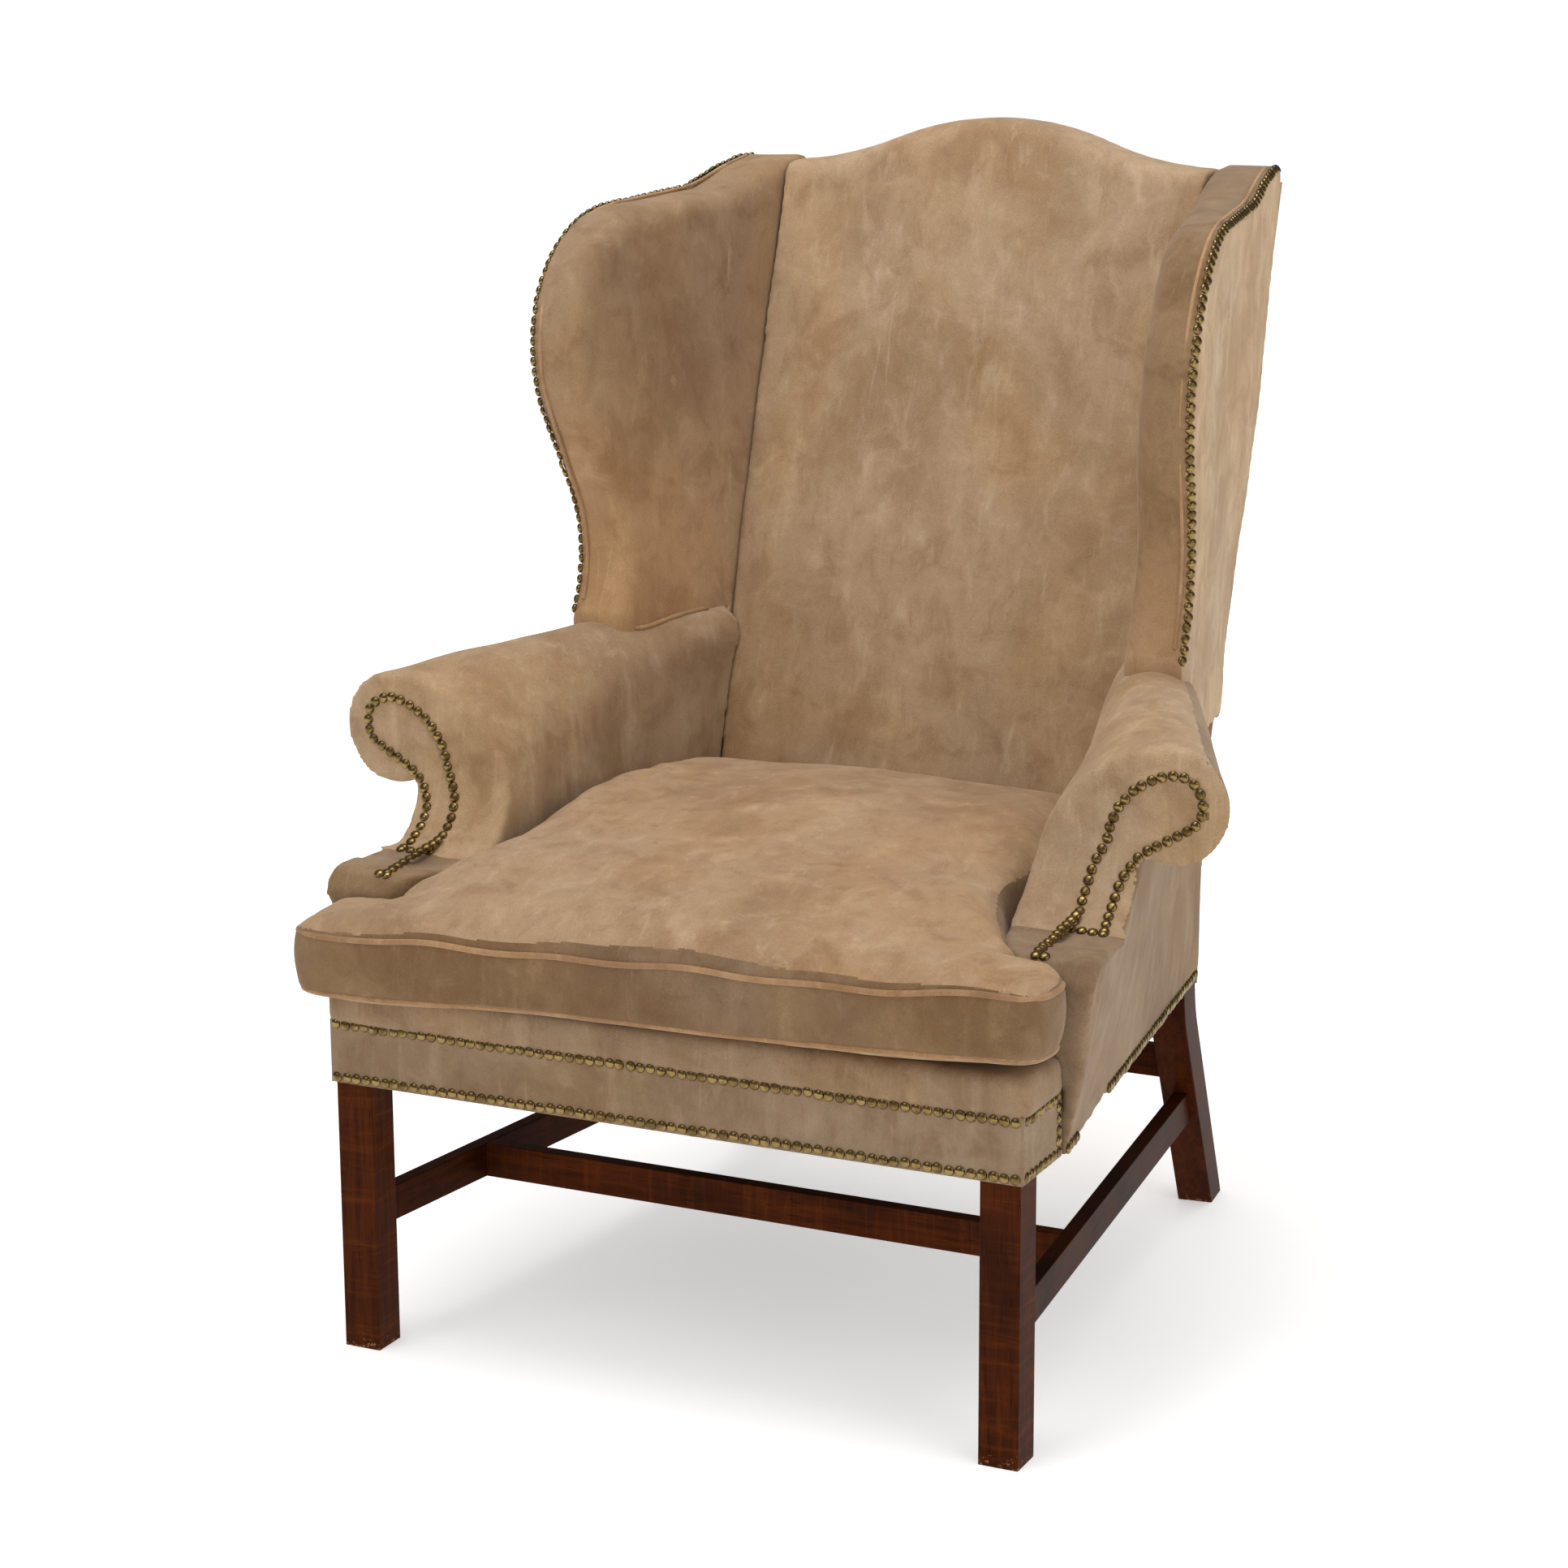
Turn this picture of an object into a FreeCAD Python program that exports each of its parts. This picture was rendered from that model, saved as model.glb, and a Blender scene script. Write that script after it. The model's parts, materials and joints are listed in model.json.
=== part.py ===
"""Wingback armchair: wood frame, webbing and springs, pads, suede covers, brass nails, loose T-cushion.

Millimetres, +Z up, +X to the right of someone who faces the chair, +Y to the back.
Heights start at the floor. Depths in the code start at the front faces of the front legs, and
front_y moves every sub-part so that the origin is under the middle of the whole chair.
"""
import FreeCAD, Part
import math
import os
import re
import Sketcher
from FreeCAD import Vector

SIZES = {
    "front_y": -396.9,
    "leg_side": 38.5,
    "half_front": 350.0,
    "side_splay": 6.32,
    "leg_top": 326.0,
    "rear_leg_width": 36.6,
    "rear_leg_front": 585.0,
    "rear_leg_back": 633.0,
    "rear_knee": 252.0,
    "rear_foot_front": 732.0,
    "rear_foot_back": 775.0,
    "rebate": 3.0,
    "stretcher_thick": 15.4,
    "stretcher_low": 113.0,
    "stretcher_high": 148.0,
    "stretcher_inset": 9.0,
    "cross_front": 202.0,
    "rear_stretcher_front": 636.0,
    "rear_stretcher_low": 165.0,
    "rear_stretcher_high": 198.0,
    "rail_low": 272.0,
    "rail_high": 330.0,
    "rail_thick": 25.0,
    "rail_inset": 6.0,
    "cover_low": 267.0,
    "border_high": 329.0,
    "arm_low": 332.5,
    "deck_high": 366.0,
    "back_top": 1134.0,
    "shoulder_top": 1089.0,
    "crest_half": 235.0,
    "back_slope": 0.3126,
    "rear_slope": 0.284,
    "leather": 2.2,
    "pad_gap": 3.0,
    "scroll_hollow": 85.0,
    "cushion_low": 366.5,
    "cushion_seam": 427.0,
    "welt_radius": 2.75,
    "nail_radius": 5.1,
    "nail_pitch": 10.5,
    "nail_shank": 16.0,
    "spring_radius": 34.0,
    "spring_wire": 1.9,
    "spring_turns": 4.0,
    "strap_width": 50.0,
    "strap_thick": 1.5,
}

doc = FreeCAD.newDocument("wingback_armchair")
sheet = doc.addObject("Spreadsheet::Sheet", "sizes")
for row, (alias, value) in enumerate(SIZES.items(), start=1):
    sheet.set("A%d" % row, str(value))
    sheet.setAlias("A%d" % row, alias)
doc.recompute()
parts = []


def size(alias):
    """A driving dimension as it stands in the sheet."""
    return float(getattr(sheet, alias))


def bound(text):
    """An expression on the sheet, from one written with the bare names of its cells."""
    return re.sub(r"[a-z_]+", lambda word: "sizes." * (word.group() in SIZES) + word.group(), text)


def keep(thing, label):
    """Labels a sub-part and lists it for writing."""
    thing.Label = label
    parts.append(thing)
    return thing


def piece(label, shape):
    """A sub-part whose shape is made with Part's own functions, moved to its place."""
    feature = doc.addObject("Part::Feature", label)
    feature.Shape = shape
    feature.Placement = FreeCAD.Placement(Vector(0, size("front_y"), 0), FreeCAD.Rotation())
    return keep(feature, label)


# Timbers, each an outline of bound corners that is padded

def timber(label, plane, corners, low, high, eased=0.0):
    """A body with one sketch in an origin plane, padded from low to high; eased rounds its long edges."""
    body = doc.addObject("PartDesign::Body", label)
    body.setExpression("Placement.Base.y", "sizes.front_y")
    sketch = body.newObject("Sketcher::SketchObject", label + "_outline")
    for origin in body.Origin.OriginFeatures:
        if origin.Role == plane + "_Plane":
            sketch.AttachmentSupport = (origin, "")
    sketch.MapMode = "FlatFace"
    sketch.setExpression("AttachmentOffset.Base.z", bound(low))
    points = [Vector(*[float(sheet.evalExpression(bound(text))) for text in corner], 0) for corner in corners]
    for start, end in zip(points, points[1:] + points[:1]):
        sketch.addGeometry(Part.LineSegment(start, end), False)
    for number in range(len(points)):
        following = (number + 1) % len(points)
        sketch.addConstraint(Sketcher.Constraint("Coincident", number, 2, following, 1))
    for number, (corner, at) in enumerate(zip(corners, points)):
        for kind, text, value in (("DistanceX", corner[0], at.x), ("DistanceY", corner[1], at.y)):
            index = sketch.addConstraint(Sketcher.Constraint(kind, -1, 1, number, 1, value))
            sketch.setExpression("Constraints[%d]" % index, bound(text))
    pad = body.newObject("PartDesign::Pad", label + "_pad")
    pad.Profile = sketch
    pad.setExpression("Length", bound("(%s) - (%s)" % (high, low)))
    doc.recompute()
    if eased:
        longest = max(edge.Length for edge in body.Shape.Edges)
        round_edges(body, eased, lambda edge: edge.Length > 0.9 * longest)
    return body


def round_edges(body, radius, chosen):
    """Adds a fillet to the edges of a body that chosen picks."""
    last = body.Tip
    names = ["Edge%d" % number for number, edge in enumerate(last.Shape.Edges, start=1) if chosen(edge)]
    fillet = body.newObject("PartDesign::Fillet", body.Name + "_rounding")
    fillet.Base = (last, names)
    fillet.Radius = radius
    doc.recompute()


SIDES = (("left", -1), ("right", 1))


def side_line(inset, y):
    """The splayed side's plan line, inset square to itself, as an expression for x at a depth y."""
    return "half_front - (%s) / cos(side_splay) - tan(side_splay) * ((%s) - leg_side)" % (inset, y)


def mirrored(corners, sign):
    """Outline corners with x on the wanted side."""
    return [("%d * (%s)" % (sign, across), along) for across, along in corners]


def front_leg(side, sign):
    """A square front leg, a little worn round on its edges."""
    inner = "half_front - leg_side"
    corners = [(inner, "0"), ("half_front", "0"), ("half_front", "leg_side"), (inner, "leg_side")]
    body = timber("front_leg_" + side, "XY", mirrored(corners, sign), "0", "leg_top", eased=1.6)
    return keep(body, "front_leg_" + side)


def splay(body, sign):
    """Turns a body in plan about the back outer corner of the front leg, onto the splayed side line."""
    body.Placement.Rotation = FreeCAD.Rotation(Vector(0, 0, sign), size("side_splay"))
    body.setExpression("Placement.Base.x", bound("%d * half_front" % sign))
    body.setExpression("Placement.Base.y", bound("front_y + leg_side"))
    body.setExpression("Placement.Rotation.Angle", bound("side_splay"))


def along_side(y):
    """A depth as a length along the splayed side line."""
    return "((%s) - leg_side) / cos(side_splay)" % y


def rear_leg(side, sign):
    """A rear leg that rakes back below its knee, with soft curves before and behind the knee."""
    front, back = along_side("rear_leg_front"), along_side("rear_leg_back")
    corners = [
        (front, "rail_high"),
        (front, "rear_knee"),
        (along_side("rear_foot_front"), "0"),
        (along_side("rear_foot_back"), "0"),
        (back, "rear_knee"),
        (back, "rail_high"),
    ]
    low, high = ("-rear_leg_width", "0") if sign > 0 else ("0", "rear_leg_width")
    body = timber("rear_leg_stock_" + side, "YZ", corners, low, high)
    knee = size("rear_knee")
    round_edges(body, 120.0, lambda edge: abs(edge.CenterOfMass.z - knee) < 0.1 and edge.Length < 40)
    round_edges(body, 1.4, lambda edge: edge.Length > 150)
    splay(body, sign)
    # The upholstered top stands back a little, so that the outside arm's cover lies flush with the leg
    corners = [("500", "cover_low + 7"), ("700", "cover_low + 7")]
    corners += [("700", "rail_high + 5"), ("500", "rail_high + 5")]
    low, high = ("-rebate", "5") if sign > 0 else ("-5", "rebate")
    rebate = timber("rear_leg_rebate_" + side, "YZ", corners, low, high)
    splay(rebate, sign)
    leg = doc.addObject("Part::Cut", "rear_leg_" + side)
    leg.Base, leg.Tool = body, rebate
    doc.recompute()
    return keep(leg, "rear_leg_" + side)


def side_stretcher(side, sign, leg, rear):
    """A side stretcher, sawn to lie against the back of the front leg and the front of the rear leg."""
    inner = "-%d * (stretcher_inset + stretcher_thick)" % sign
    outer = "-%d * stretcher_inset" % sign
    corners = [(outer, "-6"), (outer, "640"), (inner, "640"), (inner, "-6")]
    body = timber("stretcher_stock_" + side, "XY", corners, "stretcher_low", "stretcher_high", eased=1.2)
    splay(body, sign)
    front_cut = doc.addObject("Part::Cut", "stretcher_front_" + side)
    front_cut.Base, front_cut.Tool = body, leg
    rear_cut = doc.addObject("Part::Cut", "side_stretcher_" + side)
    rear_cut.Base, rear_cut.Tool = front_cut, rear
    doc.recompute()
    return keep(rear_cut, "side_stretcher_" + side)


def between_sides(label, inset, front, back, low, high, eased=0.0):
    """A board across the chair whose splayed ends meet the faces that lie inset from the side lines."""
    corners = [(side_line(inset, front), front), (side_line(inset, back), back)]
    corners += [("-(%s)" % side_line(inset, back), back), ("-(%s)" % side_line(inset, front), front)]
    return keep(timber(label, "XY", corners, low, high, eased), label)


def side_rail(side, sign):
    """A side seat rail from the back of the front leg to the front of the rear leg."""
    outer, inner = "rail_inset", "rail_inset + rail_thick"
    corners = [(side_line(outer, "leg_side"), "leg_side"), (side_line(outer, "rear_leg_front"), "rear_leg_front")]
    corners.append((side_line(inner, "rear_leg_front"), "rear_leg_front"))
    corners.append((side_line(inner, "leg_side"), "leg_side"))
    # The rear leg stands square to the splayed line, so the rail's far end is cut back by its slant
    corners[1] = (side_line(outer, "rear_leg_front"), "rear_leg_front - 0.05 - rail_inset * tan(side_splay)")
    far_end = "rear_leg_front - 0.05 - (rail_inset + rail_thick) * tan(side_splay)"
    corners[2] = (side_line(inner, "rear_leg_front"), far_end)
    body = timber("side_seat_rail_" + side, "XY", mirrored(corners, sign), "rail_low", "rail_high")
    return keep(body, "side_seat_rail_" + side)


def wood_frame():
    """Legs, stretchers, seat rails and the posts and rail of the back."""
    for side, sign in SIDES:
        leg = front_leg(side, sign)
        rear = rear_leg(side, sign)
        side_stretcher(side, sign, leg, rear)
        side_rail(side, sign)
    cross_inset = "stretcher_inset + stretcher_thick"
    between_sides("cross_stretcher", cross_inset, "cross_front", "cross_front + stretcher_thick",
                  "stretcher_low", "stretcher_high", eased=1.2)
    rear_back = "rear_stretcher_front + stretcher_thick"
    between_sides("rear_stretcher", "rear_leg_width", "rear_stretcher_front", rear_back,
                  "rear_stretcher_low", "rear_stretcher_high", eased=1.2)
    between_sides("rear_seat_rail", "rear_leg_width", "rear_leg_front + 14", "rear_leg_front + 14 + rail_thick",
                  "rail_low", "rail_high")
    inner = "half_front - leg_side"
    corners = [(inner, "3"), (inner, "3 + rail_thick")]
    corners += [("-(%s)" % inner, "3 + rail_thick"), ("-(%s)" % inner, "3")]
    keep(timber("front_seat_rail", "XY", corners, "rail_low", "rail_high"), "front_seat_rail")


# Outlines, prisms and blocks for the curved pieces

PLACE = {
    "XY": lambda across, along: Vector(across, along, 0),
    "XZ": lambda across, along: Vector(across, 0, along),
    "YZ": lambda across, along: Vector(0, across, along),
}
NORMAL = {"XY": Vector(0, 0, 1), "XZ": Vector(0, 1, 0), "YZ": Vector(1, 0, 0)}


def outline(plane, start, *steps):
    """A closed wire: each step is a line's end, or the middle and the end of an arc."""
    place = PLACE[plane]
    edges = []
    last = place(*start)
    for step in steps + (start,):
        points = [place(*at) for at in (step if isinstance(step[0], tuple) else (step,))]
        if len(points) == 2:
            edges.append(Part.Arc(last, points[0], points[1]).toShape())
        elif last.distanceToPoint(points[0]) > 1e-6:
            edges.append(Part.makeLine(last, points[0]))
        last = points[-1]
    return Part.Wire(edges)


def prism(plane, wire, low, high):
    """The solid of an outline between two places along the plane's normal."""
    along = NORMAL[plane]
    return Part.Face(wire).translated(along * low).extrude(along * (high - low))


def grown(wire, amount, corners=2):
    """An outline moved outwards, or inwards by a negative amount; its corners stay sharp unless told."""
    if abs(amount) < 1e-9:
        return wire
    return wire.makeOffset2D(amount, corners)


def hexa(low, high):
    """The solid between two four-cornered sections, each a list of points at one height."""
    wires = [Part.makePolygon(section + section[:1]) for section in (low, high)]
    return Part.makeLoft(wires, True, True)


def rounded(shape, radius, chosen):
    """The shape with the edges that chosen picks rounded."""
    edges = [edge for edge in shape.Edges if chosen(edge)]
    return shape.makeFillet(radius, edges) if edges else shape


def middle(edge):
    """The point halfway along an edge's own parameter."""
    return edge.valueAt((edge.FirstParameter + edge.LastParameter) / 2)


def on_circle(centre, radius, degrees):
    """A point of a circle in a plane's two coordinates."""
    turn = math.radians(degrees)
    return centre[0] + radius * math.cos(turn), centre[1] + radius * math.sin(turn)


# The back

LEAN = math.hypot(1, size("back_slope"))


def back_front(z):
    """Depth of the inside back's surface at a height."""
    return 559.6 + size("back_slope") * (z - 480)


def back_rear(z):
    """Depth of the outside back's surface at a height."""
    return 640.0 + size("rear_slope") * max(0.0, z - 470)


def back_half(z):
    """Half width of the inside back at a height: it fits between the arms, then between the wings."""
    if z < 640:
        return 217.0 + 15.0 * (z - 332) / 308
    return 232.0 + 5.0 * (z - 640) / 449


def camel(inset, reach, low):
    """The back seen square on, with its camel crest: straight sides from low up to the shoulders."""
    half = size("crest_half")
    drop = size("back_top") - size("shoulder_top")
    theta = 2 * math.atan(drop / half)
    radius = half / (2 * math.sin(theta))
    shoulder = (half, size("shoulder_top") + radius)
    crown = (0.0, size("back_top") - radius)
    degrees = math.degrees(theta)
    outer, inner = radius + inset, radius - inset
    hollow_end = on_circle(shoulder, outer, -90)
    hollow_mid = on_circle(shoulder, outer, -90 - degrees / 2)
    meet = on_circle(crown, inner, 90 - degrees)
    rise = on_circle(crown, inner, 90 - degrees / 2)
    top = on_circle(crown, inner, 90)

    def other(at):
        return -at[0], at[1]

    sides = [(reach(z) - inset, z) for z in (low, 640.0)]
    corner = (max(reach(1089.0) - inset, half + 0.1), size("shoulder_top") - inset)
    steps = [sides[1], corner, hollow_end, (hollow_mid, meet), (rise, top)]
    steps += [(other(rise), other(meet)), (other(hollow_mid), other(hollow_end))]
    steps += [other(corner), other(sides[1]), other(sides[0])]
    return outline("XZ", sides[0], *steps)


def back_slab(inset, low=332.0):
    """The stuffed back, with its crest rolled over in front and eased behind."""
    shift = inset * LEAN
    profile = outline("YZ", (back_front(low) + shift, low), (back_front(1160) + shift, 1160),
                      (back_rear(1160) - shift, 1160), (640 - inset, 470), (640 - inset, low))
    slab = prism("YZ", profile, -300, 300).common(prism("XZ", camel(inset, back_half, low), 400, 900))

    def crest_edge(edge, depth):
        at = middle(edge)
        return abs(at.y - depth(at.z)) < 0.5 and at.z > size("shoulder_top") - inset - 1

    slab = rounded(slab, 26 - inset, lambda edge: crest_edge(edge, lambda z: back_front(z) + shift))
    return rounded(slab, 14 - inset, lambda edge: crest_edge(edge, lambda z: back_rear(z) - shift))


def back_zone(inset, low=300.0):
    """The space behind the back pad that the posts, rails and webbing fill."""
    profile = outline("YZ", (600 - inset, low), (600 - inset, 470), (600 - inset + size("rear_slope") * 690, 1160),
                      (900, 1160), (900, low))
    return prism("YZ", profile, -300, 300).common(prism("XZ", camel(24 - inset, lambda z: 290.0, low), 400, 1000))


def crest_block(clear, behind=0.0):
    """The crest rail between the posts' tops, grown all round by clear and to the rear by behind as well."""
    lean = size("rear_slope")
    profile = outline("YZ", (600 - clear + lean * (570 - clear), 1040 - clear), (600 - clear + lean * 670, 1140),
                      (632 + clear + behind + lean * 670, 1140),
                      (632 + clear + behind + lean * (570 - clear), 1040 - clear))
    wide = camel(24.8 - clear, lambda z: 281.0, 900)
    return prism("YZ", profile, -281 - clear, 281 + clear).common(prism("XZ", wide, 400, 1000))


def back():
    """Posts, rails, webbing, pad and covers of the back."""
    gap, skin = size("pad_gap"), size("leather")
    post_front = "rear_leg_front + 16"
    for side, sign in SIDES:
        corners = [(post_front, "rail_high"), (post_front, "470"), (post_front + " + rear_slope * 570", "1040"),
                   (post_front + " + rear_slope * 570 + 32", "1040"), (post_front + " + 32", "470"),
                   (post_front + " + 32", "rail_high")]
        low, high = ("250", "280") if sign > 0 else ("-280", "-250")
        keep(timber("back_post_" + side, "YZ", corners, low, high), "back_post_" + side)
    lean = size("rear_slope")
    low_rail = prism("YZ", outline("YZ", (600 + lean * 10, 480), (600 + lean * 60, 530),
                                   (624 + lean * 60, 530), (624 + lean * 10, 480)), -250, 250)
    piece("crest_rail", crest_block(0.0))
    piece("lower_back_rail", low_rail)
    straps = []
    strap, thick = size("strap_width"), size("strap_thick")
    for number in range(5):
        z = 590.0 + 95.0 * number
        front = 600 + lean * (z - 470)
        tall = strap / math.hypot(1, lean)
        straps.append(prism("YZ", outline("YZ", (front - thick, z), (front - thick + lean * tall, z + tall),
                                          (front + lean * tall, z + tall), (front, z)), -214, 214))
    for number in range(4):
        x = -165.0 + 110.0 * number
        profile = outline("YZ", (600 - 2 * thick - 0.1 + lean * 20, 490), (600 - thick - 0.1 + lean * 20, 490),
                          (600 - thick - 0.1 + lean * 580, 1050), (600 - 2 * thick - 0.1 + lean * 580, 1050))
        straps.append(prism("YZ", profile, x - strap / 2, x + strap / 2))
    piece("back_webbing", Part.makeCompound(straps))
    padded = back_slab(gap).cut(back_zone(2 * thick + 0.6))
    piece("back_pad", padded)
    hollow = back_slab(skin, 300.0)
    behind = prism("YZ", outline("YZ", (596, 300), (596, 470), (596 + lean * 700, 1170), (980, 1170), (980, 300)),
                   -300, 300)
    below = prism("XZ", camel(12.0, lambda z: 290.0, 300), 400, 1000)
    piece("inside_back", back_slab(0.0).cut(hollow).cut(behind.common(below)))


# The wings

WAIST = (317.0, 716.0)
WAIST_RADIUS = 142.5
EAR = (545.0, 910.0)
EAR_RADIUS = 145.0
WING_THICK = 30.0
WING_TOP = 1091.0


def wing_outer(y, z):
    """x of the wing's outside plane, which flares forward from the back post."""
    return 290.0 + 0.155 * (640.0 + 0.297 * (z - 430) - y)


def wing_inner(y, z):
    """x of the wing's inside plane."""
    return 237.0 + 0.21 * (604.0 + size("back_slope") * (z - 622) - y)


def wing_outline(low=600.0, behind=-3.0):
    """The wing seen from the side: waist, ear and a top edge that rises to the back corner."""
    across, along = EAR[0] - WAIST[0], EAR[1] - WAIST[1]
    turn = math.degrees(math.atan2(along, across)
                        - math.acos((WAIST_RADIUS + EAR_RADIUS) / math.hypot(across, along)))
    foot = -32.0
    rear_foot = (back_rear(low) + behind, low)
    corner = (back_rear(WING_TOP) + behind, WING_TOP)
    waist_end = on_circle(WAIST, WAIST_RADIUS, turn)
    ear_start = on_circle(EAR, EAR_RADIUS, 180 + turn)
    toe = on_circle(WAIST, WAIST_RADIUS, foot)
    return outline("YZ", rear_foot, (toe[0], low), toe,
                   (on_circle(WAIST, WAIST_RADIUS, (foot + turn) / 2), waist_end), ear_start,
                   (on_circle(EAR, EAR_RADIUS, (180 + turn + 97) / 2), on_circle(EAR, EAR_RADIUS, 97)),
                   (669.0, 1063.5), (728.0, 1081.5), (770.0, 1090.0), corner)


def wing_block(inner, outer):
    """The space between two planes, given as functions of depth and height, over the wing's whole reach."""
    sections = []
    for z in (540.0, 1150.0):
        sections.append([Vector(inner(380, z), 380, z), Vector(outer(380, z), 380, z),
                         Vector(outer(880, z), 880, z), Vector(inner(880, z), 880, z)])
    return hexa(*sections)


def wing_slab(inset):
    """The stuffed wing, rolled over on its inside front and top edges."""
    wire = grown(wing_outline(), -inset)
    slab = prism("YZ", wire, 150, 420).common(
        wing_block(lambda y, z: wing_inner(y, z) + inset, lambda y, z: wing_outer(y, z) - inset))

    def rolled(edge, plane, shift):
        at = middle(edge)
        rear = at.y > back_rear(at.z) - 3 - inset - 0.6
        return abs(at.x - plane(at.y, at.z) - shift) < 0.05 and at.z > 601 + inset and not rear

    slab = rounded(slab, 23 - inset, lambda edge: rolled(edge, wing_inner, inset))
    return rounded(slab, 4 - inset / 2, lambda edge: rolled(edge, wing_outer, -inset))


def wing_zone(inset, depth, low=600.0):
    """The space behind the wing pad that the wing's frame fills."""
    return prism("YZ", grown(wing_outline(low), -depth), 150, 420).common(
        wing_block(lambda y, z: wing_outer(y, z) - WING_THICK - inset, lambda y, z: wing_outer(y, z) + 9))


def post_zone(clear):
    """Everything from the back posts' front to behind the chair, up to the posts' tops."""
    front, lean = 601.0 - clear, size("rear_slope")
    profile = outline("YZ", (front, 300), (front, 470), (front + lean * (570 + clear), 1040 + clear),
                      (900, 1040 + clear), (900, 300))
    return prism("YZ", profile, 150, 420)


# The arms

ARM_STATIONS = (
    # depth, scroll centre x, top, scroll radius, radius of the inner shoulder
    (58, 408.5, 618, 55, 81.5),
    (90, 408.5, 618, 55, 109.5),
    (130, 408.5, 618, 55, 128.5),
    (180, 408.5, 618, 55, 135.5),
    (215, 408.5, 618, 55, 133.5),
    (250, 392.5, 621, 54.5, 118),
    (300, 369, 625, 53.5, 92),
    (350, 346, 628, 52, 75),
    (400, 323, 633, 50.5, 63),
    (450, 301, 637, 50, 53),
    (505, 280, 638, 45, 46),
    (560, 262, 637, 40, 40),
    (602, 250, 635, 36, 36),
)


def panel_x(y, z):
    """x of the outside arm panel's surface, which leans out towards the scroll."""
    low = 357.0 - 0.135 * (y - 90)
    high = 380.0 - 0.2111 * (y - 200)
    return low + (high - low) * (z - 270) / 230


def arm_section(inset, low, y, centre, top, radius, shoulder):
    """The arm cut square across: inner face, shoulder, scroll, throat and outer face."""
    base = panel_x(y, 0) - 2.8 - inset
    rise = (panel_x(y, 100) - panel_x(y, 0)) / 100
    roll = radius - inset
    middle_z = top - radius
    reach = min(1.0, (base + rise * middle_z - centre) / roll / math.hypot(1, rise))
    throat = min(-8.0, -math.degrees(math.acos(reach) + math.atan(rise)))
    scroll = (centre, middle_z)
    bend = (centre, top - shoulder)
    turn = shoulder - inset
    wire = outline("XZ", (centre - turn, low), (centre - turn, top - shoulder),
                   (on_circle(bend, turn, 135), (centre, top - inset)),
                   (on_circle(scroll, roll, 45), on_circle(scroll, roll, 0)),
                   (on_circle(scroll, roll, throat / 2), on_circle(scroll, roll, throat)),
                   (base + rise * low, low))
    return wire.translated(Vector(0, y, 0))


SCROLL_AXIS = (128.0, 535.0)
FOOT_TOP = 453.5
KNOB = (84.0, 429.5)
KNOB_RADIUS = 24.0
STUMP_TOP = (86.0, 332.5)
STUMP_FOOT = (88.0, 262.0)


def arm_front(inset):
    """The empty space before the arm: straight scroll, hollow C, foot and the stump's front."""
    hollow = size("scroll_hollow") + inset
    top = FOOT_TOP - inset
    knob = KNOB_RADIUS - inset
    profile = outline("YZ", (SCROLL_AXIS[0] + hollow, 720), (SCROLL_AXIS[0] + hollow, SCROLL_AXIS[1]),
                      (on_circle(SCROLL_AXIS, hollow, -53), on_circle(SCROLL_AXIS, hollow, -105.7)),
                      (KNOB[0], top), (on_circle(KNOB, knob, 135), on_circle(KNOB, knob, 185)),
                      (STUMP_TOP[0] + inset, STUMP_TOP[1]), (STUMP_FOOT[0] + inset, STUMP_FOOT[1]),
                      (-20, STUMP_FOOT[1]), (-20, 720))
    return prism("YZ", profile, 200, 500)


def arm_envelope(inset, low=None):
    """The whole stuffed arm, from the stump's front to the back post."""
    low = size("arm_low") + inset if low is None else low
    wires = [arm_section(inset, low, *station) for station in ARM_STATIONS]
    return Part.makeLoft(wires, True, True).cut(arm_front(inset))


def scroll_outline(inset):
    """The arm facing seen from the front."""
    wire = outline("XZ", (329, 440), (329, 462), ((329, 499), (341, 528)), ((362, 574), (404, 597)),
                   ((431, 589), (440, 565)), ((437, 551), (425, 540)), (391, 520),
                   ((371, 499), (366, 472)), (367, 462), (389, 456), (389, 440))
    return grown(wire, -inset, 1)


def scroll_surface(height, thick):
    """Depth of the hollow front of the arm at a height, thick before the surface."""
    if height >= SCROLL_AXIS[1]:
        return SCROLL_AXIS[0] + size("scroll_hollow") - thick
    rise = SCROLL_AXIS[1] - height
    return SCROLL_AXIS[0] + math.sqrt(max(0.0, (size("scroll_hollow") - thick) ** 2 - rise ** 2))


def scroll_band(near, far):
    """A layer that follows the hollow front of the arm, between two distances before its surface."""
    def bend(thick):
        radius = size("scroll_hollow") - thick
        return (SCROLL_AXIS[0] + radius, radius)

    def knob_turn(thick):
        return on_circle(KNOB, KNOB_RADIUS + thick, 108), on_circle(KNOB, KNOB_RADIUS + thick, 126)

    out, inner = bend(near), bend(far)
    wire = outline("YZ", (out[0], 640), (out[0], SCROLL_AXIS[1]),
                   (on_circle(SCROLL_AXIS, out[1], -53), on_circle(SCROLL_AXIS, out[1], -105.7)),
                   (KNOB[0], FOOT_TOP + near), knob_turn(near), on_circle(KNOB, KNOB_RADIUS + far, 126),
                   (on_circle(KNOB, KNOB_RADIUS + far, 108), (KNOB[0], FOOT_TOP + far)),
                   on_circle(SCROLL_AXIS, inner[1], -105.7),
                   (on_circle(SCROLL_AXIS, inner[1], -53), (inner[0], SCROLL_AXIS[1])), (inner[0], 640))
    return prism("YZ", wire, 200, 500)


def arm_side_block(inner, outer):
    """The layer between two distances from the outside arm panel's surface, over its whole reach."""
    sections = []
    for z in (262.0, 640.0):
        sections.append([Vector(panel_x(80, z) + inner, 80, z), Vector(panel_x(80, z) + outer, 80, z),
                         Vector(panel_x(660, z) + outer, 660, z), Vector(panel_x(660, z) + inner, 660, z)])
    return hexa(*sections)


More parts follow.
